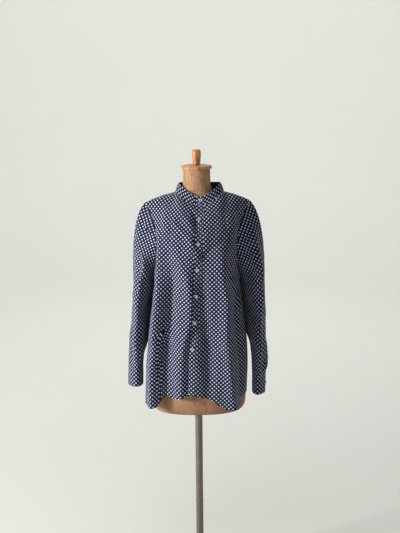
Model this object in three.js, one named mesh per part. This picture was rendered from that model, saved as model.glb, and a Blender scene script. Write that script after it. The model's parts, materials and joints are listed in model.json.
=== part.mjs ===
// Mandarin collar shirt hanging on a limbless dress form with a pole and a round base.
// Millimetres, +Z up, the front faces -Y, the origin is on the floor under the pole.
import * as THREE from "three";

// Cloth and seams
const CLOTH = 1.3; // wall of one layer of shirt cloth as it hangs
const COLLAR_WALL = 2.0; // two layers and their interlining
const CUFF_WALL = 1.8;
const SEAM_GAP = 0.3; // free space between neighbouring pieces
const LAP_TRIM = 1.5; // how far a panel's edge stays back under a lapped seam
const LAP_RISE = CLOTH + SEAM_GAP; // middle to middle of two layers that lie on each other

// Body of the shirt
const CHEST_Z = 1130; // level of the underarm
const SECTION_POWER = 2.5; // superellipse power of the body's level sections
const NECK_CENTRE = { x: 10, y: 4 };
const NECK_HALF = 83; // neckline half width
const NECK_FRONT = { reach: 56, z: 1365 };
const NECK_BACK = { reach: 52, z: 1401 };
const NECK_SIDE_Z = 1402;
const SHOULDER = { "-1": { x: -180, y: 0, z: 1366 }, 1: { x: 184, y: 0, z: 1371 } };
const SHOULDER_FULL = { neck: 1.75, neckBack: 2, tip: 2.7 }; // how square the body rises to the shoulder
const PLACKET_WIDTH = 25;
const ARMHOLE_DEPTH = 0.25; // share of a panel's width that the armhole takes

// Collar, cuffs and buttons
const COLLAR_RISE = { front: 25, side: 30, back: 27 };
const CUFF = { height: 65, lap: 24 };
const BUTTON = { radius: 5.7, thick: 2.6, small: 4.6 };
const BUTTON_HEIGHTS = [1318, 1238, 1151, 1061, 969, 873];

// Dress form and stand
const DISC = { radius: 53.8, z: 1483.3, thick: 10 };
const KNOB = { radius: 16, z: 1498.6, top: 1550 };
const POLE = { radius: 13, ringZ: 258 };
const BASE = { radius: 190, edge: 9, middle: 15 };
const FORM_FLOOR = 615;

// Level sections of the shirt's body: z, half width, reach of front and of back, shift along X
const BODY = [
  { z: 620, half: 181, front: 139, back: 127, shift: -8 },
  { z: 690, half: 180, front: 141, back: 125, shift: -7 },
  { z: 776, half: 179, front: 143, back: 120, shift: -3 },
  { z: 887, half: 172, front: 146, back: 113, shift: 0 },
  { z: 950, half: 165, front: 148, back: 110, shift: 0 },
  { z: 1010, half: 158, front: 150, back: 109, shift: 0 },
  { z: 1050, half: 152, front: 151, back: 110, shift: 0 },
  { z: 1090, half: 145, front: 151, back: 111.5, shift: 0 },
  { z: 1130, half: 141, front: 149, back: 112, shift: 0 },
];

// Where the centre front stands from the pole's axis
const CENTRE_FRONT = [
  { z: 690, x: -26 },
  { z: 776, x: -23 },
  { z: 873, x: -20 },
  { z: 969, x: -12 },
  { z: 1061, x: -6 },
  { z: 1151, x: -1 },
  { z: 1238, x: 1 },
  { z: 1318, x: 4 },
  { z: 1365, x: 10 },
];

// Hem height round the body, by share of the panel from centre to side seam
const HEM_FRONT = [
  { at: -1, z: 672 },
  { at: -0.94, z: 662 },
  { at: -0.86, z: 657 },
  { at: -0.74, z: 654 },
  { at: -0.64, z: 655 },
  { at: -0.54, z: 675 },
  { at: -0.46, z: 694 },
  { at: -0.42, z: 698 },
  { at: -0.32, z: 690 },
  { at: -0.2, z: 691 },
  { at: -0.12, z: 697 },
  { at: -0.04, z: 703 },
  { at: 0.04, z: 703 },
  { at: 0.12, z: 695 },
  { at: 0.22, z: 690 },
  { at: 0.3, z: 675 },
  { at: 0.4, z: 658 },
  { at: 0.48, z: 646 },
  { at: 0.58, z: 645 },
  { at: 0.64, z: 652 },
  { at: 0.7, z: 670 },
  { at: 0.8, z: 681 },
  { at: 1, z: 682 },
];
const HEM_BACK = [
  { at: -1, z: 672 },
  { at: -0.7, z: 654 },
  { at: -0.2, z: 661 },
  { at: 0.1, z: 655 },
  { at: 0.45, z: 664 },
  { at: 0.75, z: 656 },
  { at: 1, z: 682 },
];

// Folds: each is a soft ridge (height > 0) or trough (height < 0) along a line.
// s is measured in mm along the cloth from the centre line, + to the wearer's left on the front.
const FOLDS_FRONT = [
  { s0: -222, z0: 640, h0: 6, s1: -218, z1: 1010, h1: 3, width: 20 },
  { s0: -158, z0: 650, h0: 12, s1: -136, z1: 1070, h1: 11, width: 22 },
  { s0: -114, z0: 650, h0: -13, s1: -100, z1: 1090, h1: -12, width: 20 },
  { s0: -50, z0: 660, h0: 7, s1: -38, z1: 1060, h1: 5, width: 18 },
  { s0: 50, z0: 690, h0: -7, s1: 40, z1: 1060, h1: -7, width: 15 },
  { s0: 136, z0: 640, h0: 14, s1: 92, z1: 1110, h1: 10, width: 24 },
  { s0: 205, z0: 660, h0: -9, s1: 150, z1: 1000, h1: -4, width: 26 },
  { s0: 212, z0: 1040, h0: 4, s1: 146, z1: 1180, h1: 2.5, width: 12 },
  { s0: -118, z0: 1190, h0: 6, s1: -142, z1: 1330, h1: 6, width: 34 },
  { s0: 124, z0: 1190, h0: 6, s1: 144, z1: 1330, h1: 6, width: 34 },
];
const FOLDS_BACK = [
  { s0: -184, z0: 650, h0: 8, s1: -138, z1: 1000, h1: 1.5, width: 22 },
  { s0: -120, z0: 650, h0: -11, s1: -84, z1: 1100, h1: -4, width: 22 },
  { s0: -50, z0: 650, h0: 9, s1: -46, z1: 1080, h1: 3, width: 22 },
  { s0: 12, z0: 650, h0: -8, s1: 6, z1: 1060, h1: -4, width: 20 },
  { s0: 70, z0: 650, h0: 10, s1: 50, z1: 1100, h1: 3, width: 24 },
  { s0: 140, z0: 650, h0: -10, s1: 112, z1: 1030, h1: -4, width: 22 },
  { s0: 205, z0: 660, h0: 7, s1: 170, z1: 960, h1: 3, width: 20 },
  { s0: -120, z0: 1180, h0: 3, s1: -70, z1: 1300, h1: 2, width: 15 },
  { s0: 124, z0: 1170, h0: 3, s1: 80, z1: 1290, h1: 2, width: 15 },
];

// Level sections of the sleeves below the armhole: outer and inner x, reach to front and back,
// and how far back the inner side swings behind the body
const SLEEVES = {
  "-1": [
    { z: 1080, outer: 226, inner: 144.5, front: 84, back: 82, swing: 56 },
    { z: 1010, outer: 232, inner: 156.5, front: 80, back: 84, swing: 58 },
    { z: 950, outer: 236, inner: 162.5, front: 77, back: 84, swing: 58 },
    { z: 887, outer: 244, inner: 173, front: 72, back: 78, swing: 40 },
    { z: 850, outer: 246, inner: 184, front: 69, back: 72, swing: 20 },
    { z: 820, outer: 248, inner: 194, front: 63, back: 66, swing: 5 },
    { z: 776, outer: 250, inner: 198, front: 48, back: 49, swing: 0 },
    { z: 711, outer: 253, inner: 199, front: 47, back: 48, swing: 0 },
  ],
  1: [
    { z: 1080, outer: 236, inner: 145, front: 85, back: 82, swing: 56 },
    { z: 1010, outer: 240, inner: 155, front: 81, back: 84, swing: 58 },
    { z: 950, outer: 241, inner: 162, front: 78, back: 84, swing: 58 },
    { z: 887, outer: 240, inner: 174, front: 74, back: 78, swing: 40 },
    { z: 850, outer: 241, inner: 186, front: 71, back: 72, swing: 20 },
    { z: 790, outer: 241, inner: 191, front: 60, back: 62, swing: 5 },
    { z: 742, outer: 239, inner: 193, front: 48, back: 49, swing: 0 },
    { z: 677, outer: 237, inner: 193, front: 47, back: 48, swing: 0 },
  ],
};
const SLEEVE_POWER = { outer: 1.8, inner: 1.45 };
const SLEEVE_SWING = 58; // the largest swing in the sections above
// How far the front and back crests lean outwards, as a share of half the width
const SLEEVE_LEAN = { front: 0.42, cuff: -0.22, back: -0.22 };
const CUFF_TOP = { "-1": 776, 1: 742 };
// Folds of the sleeves: turn in degrees from the outer side (0) over the front (90), and z
const FOLDS_SLEEVE = {
  "-1": [
    { t0: 135, z0: 1050, h0: 3.5, t1: 80, z1: 1180, h1: 3, width: 11 },
    { t0: 60, z0: 800, h0: -4, t1: 50, z1: 1010, h1: -2.5, width: 14 },
    { t0: 250, z0: 800, h0: -4, t1: 240, z1: 1080, h1: -3, width: 16 },
    { t0: 300, z0: 930, h0: 3, t1: 280, z1: 1120, h1: 3, width: 14 },
  ],
  1: [
    { t0: 62, z0: 1090, h0: 2.5, t1: 58, z1: 1290, h1: 3.5, width: 12 },
    { t0: 50, z0: 770, h0: -4, t1: 60, z1: 1000, h1: -3, width: 14 },
    { t0: 105, z0: 880, h0: 3, t1: 70, z1: 1060, h1: 3, width: 12 },
    { t0: 250, z0: 770, h0: -4, t1: 245, z1: 1060, h1: -3, width: 16 },
  ],
};

// Level sections of the dress form, from its underside up to the neck
const FORM = [
  { z: 615, half: 138, front: 82, back: 80, power: 2.3 },
  { z: 618, half: 150, front: 92, back: 90, power: 2.3 },
  { z: 626, half: 160, front: 99, back: 97, power: 2.3 },
  { z: 640, half: 167, front: 104, back: 102, power: 2.3 },
  { z: 660, half: 170, front: 107, back: 105, power: 2.3 },
  { z: 710, half: 171, front: 110, back: 108, power: 2.3 },
  { z: 760, half: 167, front: 111, back: 108, power: 2.3 },
  { z: 820, half: 158, front: 109, back: 104, power: 2.3 },
  { z: 880, half: 142, front: 105, back: 96, power: 2.3 },
  { z: 930, half: 128, front: 100, back: 88, power: 2.3 },
  { z: 980, half: 121, front: 99, back: 82, power: 2.3 },
  { z: 1040, half: 128, front: 108, back: 84, power: 2.3 },
  { z: 1100, half: 133, front: 122, back: 92, power: 2.3 },
  { z: 1150, half: 136, front: 130, back: 98, power: 2.3 },
  { z: 1200, half: 134, front: 124, back: 96, power: 2.3 },
  { z: 1250, half: 134, front: 110, back: 88, power: 2.25 },
  { z: 1290, half: 138, front: 92, back: 78, power: 2.2 },
  { z: 1325, half: 140, front: 70, back: 64, power: 2.1 },
  { z: 1350, half: 136, front: 52, back: 52, power: 2 },
  { z: 1368, half: 132, front: 42, back: 47, power: 2 },
  { z: 1384, half: 109.5, front: 39, back: 45, power: 2 },
  { z: 1395, half: 77, front: 33.5, back: 41, power: 2 },
  { z: 1402, half: 60, front: 33, back: 39, power: 2 },
  { z: 1412, half: 54, front: 35.5, back: 40, power: 2 },
  { z: 1425, half: 49, front: 38, back: 41, power: 2 },
  { z: 1450, half: 48, front: 42, back: 43, power: 2 },
  { z: 1483, half: 47.5, front: 44, back: 45, power: 2 },
];

// Colours of the materials, with roughness and metalness
const FINISH = {
  cloth: ["#1b1e38", 0.92, 0],
  pearl: ["#c9ccd2", 0.3, 0],
  covering: ["#b08866", 0.8, 0],
  wood: ["#c48b58", 0.5, 0],
  steel: ["#6d6a63", 0.35, 0.9],
  iron: ["#4a4845", 0.5, 0.8],
};

const V = (x, y, z) => new THREE.Vector3(x, y, z);
const lerp = THREE.MathUtils.lerp;
const clamp = THREE.MathUtils.clamp;
const smooth = (x, lo, hi) => THREE.MathUtils.smoothstep(x, lo, hi);
const QUARTER = Math.PI / 2;

// Value of one column of a table at a key, by a smooth curve through its rows
function read(table, key, column, at) {
  const last = table.length - 1;
  const k = clamp(at, table[0][key], table[last][key]);
  let i = 0;
  while (i < last - 1 && table[i + 1][key] < k) i++;
  const [a, b] = [table[i], table[i + 1]];
  const span = b[key] - a[key];
  const t = (k - a[key]) / span;
  const rise = (b[column] - a[column]) / span;
  const slope = (lo, hi) => (hi[column] - lo[column]) / (hi[key] - lo[key]);
  const before = i > 0 ? slope(table[i - 1], a) : rise;
  const after = i < last - 1 ? slope(b, table[i + 2]) : rise;
  const mean = (p, q) => (p * q > 0 ? (2 * p * q) / (p + q) : 0);
  const [m0, m1] = [i > 0 ? mean(before, rise) : rise, i < last - 1 ? mean(rise, after) : rise];
  const [t2, t3] = [t * t, t * t * t];
  return (
    (2 * t3 - 3 * t2 + 1) * a[column] +
    (t3 - 2 * t2 + t) * span * m0 +
    (3 * t2 - 2 * t3) * b[column] +
    (t3 - t2) * span * m1
  );
}

// Quarter of a superellipse by share of its length: 0 on the y axis, 1 on the x axis
function quarterSection(a, b, power, share) {
  const steps = 40;
  const at = (i) => {
    const phi = (i / steps) * QUARTER;
    return [a * Math.sin(phi) ** (2 / power), b * Math.cos(phi) ** (2 / power)];
  };
  const length = [0];
  for (let i = 1; i <= steps; i++) {
    const [p, q] = [at(i - 1), at(i)];
    length.push(length[i - 1] + Math.hypot(q[0] - p[0], q[1] - p[1]));
  }
  const want = clamp(share, 0, 1) * length[steps];
  let i = 1;
  while (i < steps && length[i] < want) i++;
  const t = (want - length[i - 1]) / (length[i] - length[i - 1]);
  const [p, q] = [at(i - 1), at(i)];
  return { x: lerp(p[0], q[0], t), y: lerp(p[1], q[1], t) };
}

// Push of the folds at a place on the cloth
function foldPush(folds, s, z, from = ["s0", "s1"], scale = 1) {
  let push = 0;
  for (const f of folds) {
    const [x0, x1] = [f[from[0]] * scale, f[from[1]] * scale];
    const [dx, dz] = [x1 - x0, f.z1 - f.z0];
    const t = clamp(((s - x0) * dx + (z - f.z0) * dz) / (dx * dx + dz * dz), 0, 1);
    const away = Math.hypot(s - x0 - t * dx, z - f.z0 - t * dz);
    push += lerp(f.h0, f.h1, t) * Math.exp(-((away / f.width) ** 2));
  }
  return push;
}

// Share of the half panel that the placket's half width takes at level w
const plackShare = (w) => PLACKET_WIDTH / 2 / (w < 1 ? lerp(285, 235, w) : lerp(235, 250, w - 1));
const NECK_COLUMN = 5; // the column of the panels that ends at the neck's side point
const PANEL_COLUMNS = 12;
const NECK_SHARE = lerp(plackShare(2), 1, NECK_COLUMN / PANEL_COLUMNS);
const panelLength = (w) => (w < 1 ? lerp(285, 235, w) : lerp(235, 250, w - 1));

// Neckline and shoulder line: the upper edge of the panels
function topEdge(back, sigma) {
  const side = sigma < 0 ? -1 : 1;
  const share = Math.abs(sigma);
  const neck = back ? NECK_BACK : NECK_FRONT;
  if (share <= NECK_SHARE) {
    const turn = (share / NECK_SHARE) * QUARTER;
    return V(
      NECK_CENTRE.x + side * NECK_HALF * Math.sin(turn),
      NECK_CENTRE.y + (back ? 1 : -1) * neck.reach * Math.cos(turn),
      lerp(neck.z, NECK_SIDE_Z, Math.sin(turn) ** 1.6),
    );
  }
  const t = (share - NECK_SHARE) / (1 - NECK_SHARE);
  const tip = SHOULDER[side];
  return V(
    lerp(NECK_CENTRE.x + side * NECK_HALF, tip.x, t),
    lerp(NECK_CENTRE.y, tip.y, t),
    lerp(NECK_SIDE_Z, tip.z, t) + 3 * Math.sin(Math.PI * t),
  );
}

// The body without folds. sigma: -1..1 from side seam to side seam; w: 0 hem, 1 chest, 2 top
function bodyBase(back, sigma, w) {
  const side = sigma < 0 ? -1 : 1;
  const share = Math.abs(sigma);
  const hem = read(back ? HEM_BACK : HEM_FRONT, "at", "z", sigma);
  const z = w < 1 ? lerp(hem, CHEST_Z, w) : CHEST_Z;
  const reach = read(BODY, "z", back ? "back" : "front", z);
  const p = quarterSection(read(BODY, "z", "half", z), reach, SECTION_POWER, share);
  const shift = read(BODY, "z", "shift", z);
  const drift = back ? shift : lerp(shift, read(CENTRE_FRONT, "z", "x", z), (1 - share) ** 2);
  const chest = V(side * p.x + drift, (back ? 1 : -1) * p.y, z);
  if (w <= 1) return chest;
  const top = topEdge(back, sigma);
  const s = w - 1;
  const round = smooth(share, 0, NECK_SHARE * 1.15);
  const atNeck = back ? SHOULDER_FULL.neckBack : SHOULDER_FULL.neck;
  const full = lerp(atNeck, SHOULDER_FULL.tip, smooth(share, NECK_SHARE, 0.95));
  const lean = lerp(s ** (back ? 2.6 : 2), 1 - (1 - s ** full) ** (1 / full), round);
  return V(lerp(chest.x, top.x, s), lerp(chest.y, top.y, lean), lerp(chest.z, top.z, s));
}

// Outward direction of the body without folds
function bodyOut(back, sigma, w) {
  const e = 0.004;
  const [lo, hi] = [Math.max(w - e, 0), Math.min(w + e, 2)];
  const s = clamp(sigma, -1 + e, 1 - e);
  const across = bodyBase(back, s + e, w).sub(bodyBase(back, s - e, w));
  const up = bodyBase(back, sigma, hi).sub(bodyBase(back, sigma, lo));
  const out = across.cross(up).normalize();
  return back ? out.negate() : out;
}

// The body's middle surface with its folds, moved out by a distance
function bodyPoint(back, sigma, w, out = 0) {
  const base = bodyBase(back, sigma, w);
  const ease = smooth(1 - Math.abs(sigma), 0, 0.07) * (1 - smooth(w, 1.75, 2));
  const s = sigma * panelLength(w);
  const push = foldPush(back ? FOLDS_BACK : FOLDS_FRONT, s, base.z) * ease;
  return base.addScaledVector(bodyOut(back, sigma, w), push + out);
}

// Share of a panel's width where the armhole runs at level w
function armholeShare(w) {
  const t = clamp(w - 1, 0, 1);
  if (t <= 0) return 1;
  const turn = 0.35;
  if (t < turn) return 1 - ARMHOLE_DEPTH * Math.sqrt(1 - (1 - t / turn) ** 2);
  return 1 - ARMHOLE_DEPTH * Math.max(0, Math.cos(((t - turn) / (1 - turn)) * QUARTER)) ** 1.3;
}

// Rows of the body from hem to top; the first ones stand in the skirt
const SKIRT_ROWS = [0, 0.09, 0.19, 0.3, 0.41, 0.52, 0.63, 0.74, 0.84, 0.93];
const CHEST_ROWS = [1, 1.03, 1.09, 1.17, 1.28, 1.4, 1.53, 1.66, 1.78, 1.88, 1.95, 1.985, 2];
const BODY_ROWS = [...SKIRT_ROWS, ...CHEST_ROWS];

// Normals of a grid of points; around: the last column meets the first
function gridNormals(grid, around) {
  const [rows, cols] = [grid.length, grid[0].length];
  return grid.map((row, i) =>
    row.map((_, j) => {
      const left = around ? (j + cols - 1) % cols : Math.max(j - 1, 0);
      const right = around ? (j + 1) % cols : Math.min(j + 1, cols - 1);
      const across = row[right].clone().sub(row[left]);
      const up = grid[Math.min(i + 1, rows - 1)][j].clone().sub(grid[Math.max(i - 1, 0)][j]);
      return across.cross(up).normalize();
    }),
  );
}

// One piece of cloth as a closed wall on both sides of a grid of points
function sheet(grid, wall, around = false) {
  const [rows, cols] = [grid.length, grid[0].length];
  const normals = gridNormals(grid, around);
  const places = [];
  for (const side of [wall / 2, -wall / 2])
    grid.forEach((row, i) =>
      row.forEach((p, j) => places.push(p.clone().addScaledVector(normals[i][j], side))),
    );
  const at = (side, i, j) => side * rows * cols + i * cols + (j % cols);
  const faces = [];
  const quad = (a, b, c, d) => faces.push(a, b, c, a, c, d);
  const lastCol = around ? cols : cols - 1;
  for (let i = 0; i < rows - 1; i++)
    for (let j = 0; j < lastCol; j++) {
      quad(at(0, i, j), at(0, i, j + 1), at(0, i + 1, j + 1), at(0, i + 1, j));
      quad(at(1, i, j), at(1, i + 1, j), at(1, i + 1, j + 1), at(1, i, j + 1));
    }
  for (let j = 0; j < lastCol; j++) {
    quad(at(1, 0, j), at(1, 0, j + 1), at(0, 0, j + 1), at(0, 0, j));
    quad(at(0, rows - 1, j), at(0, rows - 1, j + 1), at(1, rows - 1, j + 1), at(1, rows - 1, j));
  }
  if (!around)
    for (let i = 0; i < rows - 1; i++) {
      quad(at(1, i, 0), at(0, i, 0), at(0, i + 1, 0), at(1, i + 1, 0));
      quad(at(0, i, cols - 1), at(1, i, cols - 1), at(1, i + 1, cols - 1), at(0, i + 1, cols - 1));
    }
  return solid(places, faces);
}

// Geometry from places and faces, turned so that it faces outwards
function solid(places, faces) {
  let volume = 0;
  for (let k = 0; k < faces.length; k += 3) {
    const [a, b, c] = [places[faces[k]], places[faces[k + 1]], places[faces[k + 2]]];
    volume += a.dot(b.clone().cross(c));
  }
  if (volume < 0)
    for (let k = 0; k < faces.length; k += 3) [faces[k], faces[k + 1]] = [faces[k + 1], faces[k]];
  const geometry = new THREE.BufferGeometry();
  geometry.setAttribute("position", new THREE.Float32BufferAttribute(places.flatMap((p) => p.toArray()), 3));
  geometry.setIndex(faces);
  geometry.computeVertexNormals();
  return geometry;
}

// Solid between level rings of points, closed flat below and above
function loft(rings) {
  const cols = rings[0].length;
  const places = rings.flat();
  const faces = [];
  for (let i = 0; i < rings.length - 1; i++)
    for (let j = 0; j < cols; j++) {
      const [a, b] = [i * cols + j, i * cols + ((j + 1) % cols)];
      faces.push(a, b, b + cols, a, b + cols, a + cols);
    }
  for (const [ring, turn] of [[0, -1], [rings.length - 1, 1]]) {
    const middle = places.length;
    places.push(rings[ring].reduce((sum, p) => sum.add(p), V(0, 0, 0)).divideScalar(cols));
    for (let j = 0; j < cols; j++) {
      const [a, b] = [ring * cols + j, ring * cols + ((j + 1) % cols)];
      faces.push(middle, turn > 0 ? a : b, turn > 0 ? b : a);
    }
  }
  return solid(places, faces);
}

// Move a grid's edge inwards along its columns or rows
function trim(grid, edge, by) {
  const [rows, cols] = [grid.length, grid[0].length];
  const pull = (p, q) => p.addScaledVector(q.clone().sub(p).normalize(), by);
  if (edge === "top") for (let j = 0; j < cols; j++) pull(grid[rows - 1][j], grid[rows - 2][j]);
  if (edge === "bottom") for (let j = 0; j < cols; j++) pull(grid[0][j], grid[1][j]);
  if (edge === "first") for (let i = 0; i < rows; i++) pull(grid[i][0], grid[i][1]);
  if (edge === "last") for (let i = 0; i < rows; i++) pull(grid[i][cols - 1], grid[i][cols - 2]);
}

// How far an under layer stays inside the layer on top of it, by share from the centre front
const underlap = (share, w) => LAP_RISE * 1.35 * (1 - smooth(share, plackShare(w) * 1.05, plackShare(w) * 2.5));

// Columns of a front panel at level w, from its centre edge to the side seam or armhole
function frontColumns(w) {
  const [lap, end] = [plackShare(w), armholeShare(w)];
  const columns = [-lap, 0];
  for (let j = 0; j <= PANEL_COLUMNS; j++) columns.push(lerp(lap, end, j / PANEL_COLUMNS));
  return columns;
}

// Trim a panel's top edge: it stays back under the collar, and by half a gap at the shoulder seam
function trimTop(grid, away, isNeck) {
  const rows = grid.length;
  grid[rows - 1].forEach((p, j) => {
    if (!isNeck(j)) p.y += away * SEAM_GAP * 2.2;
    else p.addScaledVector(grid[rows - 2][j].clone().sub(p).normalize(), LAP_TRIM);
  });
}

// The side edge stays back under the sleeve above the chest and by half a gap below it
function trimSide(grid, j, next) {
  grid.forEach((row, i) => {
    const w = BODY_ROWS[i];
    const by = w > 1 ? LAP_TRIM * (w > 1.85 ? 1.6 : 1) : SEAM_GAP / 2;
    row[j].addScaledVector(row[next].clone().sub(row[j]).normalize(), by);
  });
}

function frontGrid(side) {
  const grid = BODY_ROWS.map((w) =>
    frontColumns(w).map((share) => {
      const under = side < 0 ? underlap(share, w) : 0;
      return bodyPoint(false, side * share, w, -under);
    }),
  );
  const last = grid[0].length - 1;
  trimTop(grid, -1, (j) => j <= 2 + NECK_COLUMN);
  trimSide(grid, last, last - 1);
  return grid;
}

function backGrid() {
  const shares = (w) => {
    const half = [];
    for (let j = 0; j <= PANEL_COLUMNS; j++) {
      const lap = plackShare(w);
      half.push(j === 0 ? 0 : lerp(lap, armholeShare(w), j / PANEL_COLUMNS));
    }
    return [...half.slice(1).reverse().map((u) => -u), ...half];
  };
  const grid = BODY_ROWS.map((w) => shares(w).map((sigma) => bodyPoint(true, sigma, w)));
  const last = grid[0].length - 1;
  trimTop(grid, 1, (j) => Math.abs(j - PANEL_COLUMNS) <= NECK_COLUMN);
  trimSide(grid, 0, 1);
  trimSide(grid, last, last - 1);
  return grid;
}

function placketGrid() {
  const rows = BODY_ROWS.map((w) => {
    const lap = plackShare(w);
    return [-lap * 0.99, 0, lap].map((share) => bodyPoint(false, share, w, LAP_RISE));
  });
  trim(rows, "top", LAP_TRIM + 0.4);
  return rows;
}

// Level ring of a sleeve: turn 0 outer, 90 front, 180 inner, 270 back
function sleeveRing(side, z, turn) {
  const row = (column) => read([...SLEEVES[side]].reverse(), "z", column, z);
  const [outer, inner] = [row("outer"), row("inner")];
  const half = (outer - inner) / 2;
  const quarter = Math.floor(turn / 90) % 4;
  const share = (turn % 90) / 90;
  const reach = quarter < 2 ? row("front") : row("back");
  const isOuter = quarter === 0 || quarter === 3;
  const power = isOuter ? SLEEVE_POWER.outer : lerp(SLEEVE_POWER.outer, SLEEVE_POWER.inner, row("swing") / SLEEVE_SWING);
  const p = quarterSection(half, reach, power, quarter % 2 ? share : 1 - share);
  const x = isOuter ? p.x : -p.x;
  const swing = x < 0 ? row("swing") * (x / half) ** 2 : 0;
  const y = (quarter < 2 ? -p.y : p.y) + swing;
  const ahead = lerp(SLEEVE_LEAN.cuff, SLEEVE_LEAN.front, row("swing") / SLEEVE_SWING);
  const lean = half * (quarter < 2 ? ahead : SLEEVE_LEAN.back) * (p.y / reach) ** 2;
  return V(side * ((outer + inner) / 2 + x + lean), y, z);
}

// Middle surface of the armhole seam for the sleeve: it laps the panels' edges
function armholeLoop(side) {
  const rising = [...CHEST_ROWS].reverse();
  const at = (back, w) => bodyPoint(back, side * armholeShare(w), w, LAP_RISE + 0.15);
  const front = rising.map((w) => at(false, w));
  const rear = CHEST_ROWS.slice(1, -1).map((w) => at(true, w));
  return [...front, ...rear];
}

const SLEEVE_TURNS = (CHEST_ROWS.length - 1) * 2;
const CAP_ROWS = [0, 0.06, 0.15, 0.27, 0.4, 0.54, 0.69, 0.85];
const SLEEVE_TOP = 1080;
const LEVEL_ROWS = [1, 0.88, 0.76, 0.64, 0.52, 0.41, 0.3, 0.2, 0.1, 0];

function sleeveGrid(side) {
  const loop = armholeLoop(side);
  const middle = loop.reduce((sum, p) => sum.add(p), V(0, 0, 0)).divideScalar(loop.length);
  const rows = CAP_ROWS.map((t) =>
    loop.map((start, j) => {
      const turn = (j / SLEEVE_TURNS) * 360;
      const end = sleeveRing(side, SLEEVE_TOP, turn);
      const length = start.distanceTo(end);
      const height = clamp((start.z - CHEST_Z) / (SHOULDER[side].z - CHEST_Z), 0, 1);
      const out = V(side * lerp(0.06, 0.62, height ** 0.8), 0, lerp(-1, -0.62, height));
      out.y = ((start.y - middle.y) / 75) * 0.35 * height;
      const leave = out.normalize().multiplyScalar(length * 0.75);
      const arrive = V(0, 0, -length * lerp(0.6, 1.05, height));
      const [t2, t3] = [t * t, t * t * t];
      return V(0, 0, 0)
        .addScaledVector(start, 2 * t3 - 3 * t2 + 1)
        .addScaledVector(leave, t3 - 2 * t2 + t)
        .addScaledVector(end, 3 * t2 - 2 * t3)
        .addScaledVector(arrive, t3 - t2);
    }),
  );
  for (const share of LEVEL_ROWS) {
    const z = lerp(CUFF_TOP[side] + SEAM_GAP * 1.6, SLEEVE_TOP, share);
    rows.push(loop.map((_, j) => sleeveRing(side, z, (j / SLEEVE_TURNS) * 360)));
  }
  const normals = gridNormals(rows, true);
  return rows.map((row, i) =>
    row.map((p, j) => {
      const turn = (j / SLEEVE_TURNS) * 360;
      const ease = smooth(i, 0, 4) * smooth(rows.length - 1 - i, 0, 1.5);
      const ring = 1.05; // mm of cloth for one degree of turn
      const push = foldPush(FOLDS_SLEEVE[side], turn * ring, p.z, ["t0", "t1"], ring);
      const flat = V(side * (Math.abs(p.x) - 200), p.y * 0.4, 0);
      const facing = normals[i][j].dot(flat) < 0 ? -1 : 1;
      return p.clone().addScaledVector(normals[i][j], facing * push * ease);
    }),
  );
}

// Strip on the outer side of the sleeve above the cuff
const GAUNTLET = { height: 128, width: 24, clear: 0.8, turn: { "-1": 318, 1: 16 } };
const around360 = (turn) => ((turn % 360) + 360) % 360;

function gauntletGrid(side) {
  const rows = [0.02, 0.2, 0.4, 0.6, 0.8, 1];
  const grid = rows.map((share) => {
    const z = CUFF_TOP[side] + 3 + share * GAUNTLET.height;
    return [-1, -0.33, 0.33, 1].map((k) => {
      const turn = around360(GAUNTLET.turn[side] + (k * GAUNTLET.width) / 2.1);
      return sleevePoint(side, z, turn, LAP_RISE + GAUNTLET.clear);
    });
  });
  return grid;
}

// A place on a sleeve's level part, moved out
function sleevePoint(side, z, turn, out) {
  const e = 1;
  const p = sleeveRing(side, z, turn);
  const along = sleeveRing(side, z, around360(turn + e)).sub(sleeveRing(side, z, around360(turn - e)));
  const up = sleeveRing(side, z + 2, turn).sub(sleeveRing(side, z - 2, turn));
  const normal = along.cross(up).normalize().multiplyScalar(side);
  const ease = smooth(z, CUFF_TOP[side], CUFF_TOP[side] + 40);
  const push = foldPush(FOLDS_SLEEVE[side], turn * 1.05, z, ["t0", "t1"], 1.05) * ease;
  return p.addScaledVector(normal.negate(), out + push);
}

// Cuff: a band whose outer end laps its inner end on the sleeve's outer side
function cuffGrid(side) {
  const start = GAUNTLET.turn[side] + side * 12;
  const lapTurn = CUFF.lap * 1.55;
  const steps = 30;
  return [0, 0.33, 0.67, 1].map((share) => {
    const z = CUFF_TOP[side] - share * CUFF.height;
    const row = [];
    for (let i = 0; i <= steps; i++) {
      const turn = start - side * (i / steps) * (360 + lapTurn);
      const climb = smooth(i / steps, 1 - (lapTurn * 1.6) / 400, 1 - lapTurn / 400);
      const out = (CUFF_WALL + SEAM_GAP + 0.15) * climb;
      row.push(cuffPoint(side, z, around360(turn), out));
    }
    return row;
  });
}

function cuffPoint(side, z, turn, out) {
  const p = sleeveRing(side, z, turn);
  const along = sleeveRing(side, z, around360(turn + 3)).sub(sleeveRing(side, z, around360(turn - 3)));
  const normal = V(along.y, -along.x, 0).normalize().multiplyScalar(side);
  return p.addScaledVector(normal.negate(), out);
}

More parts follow.
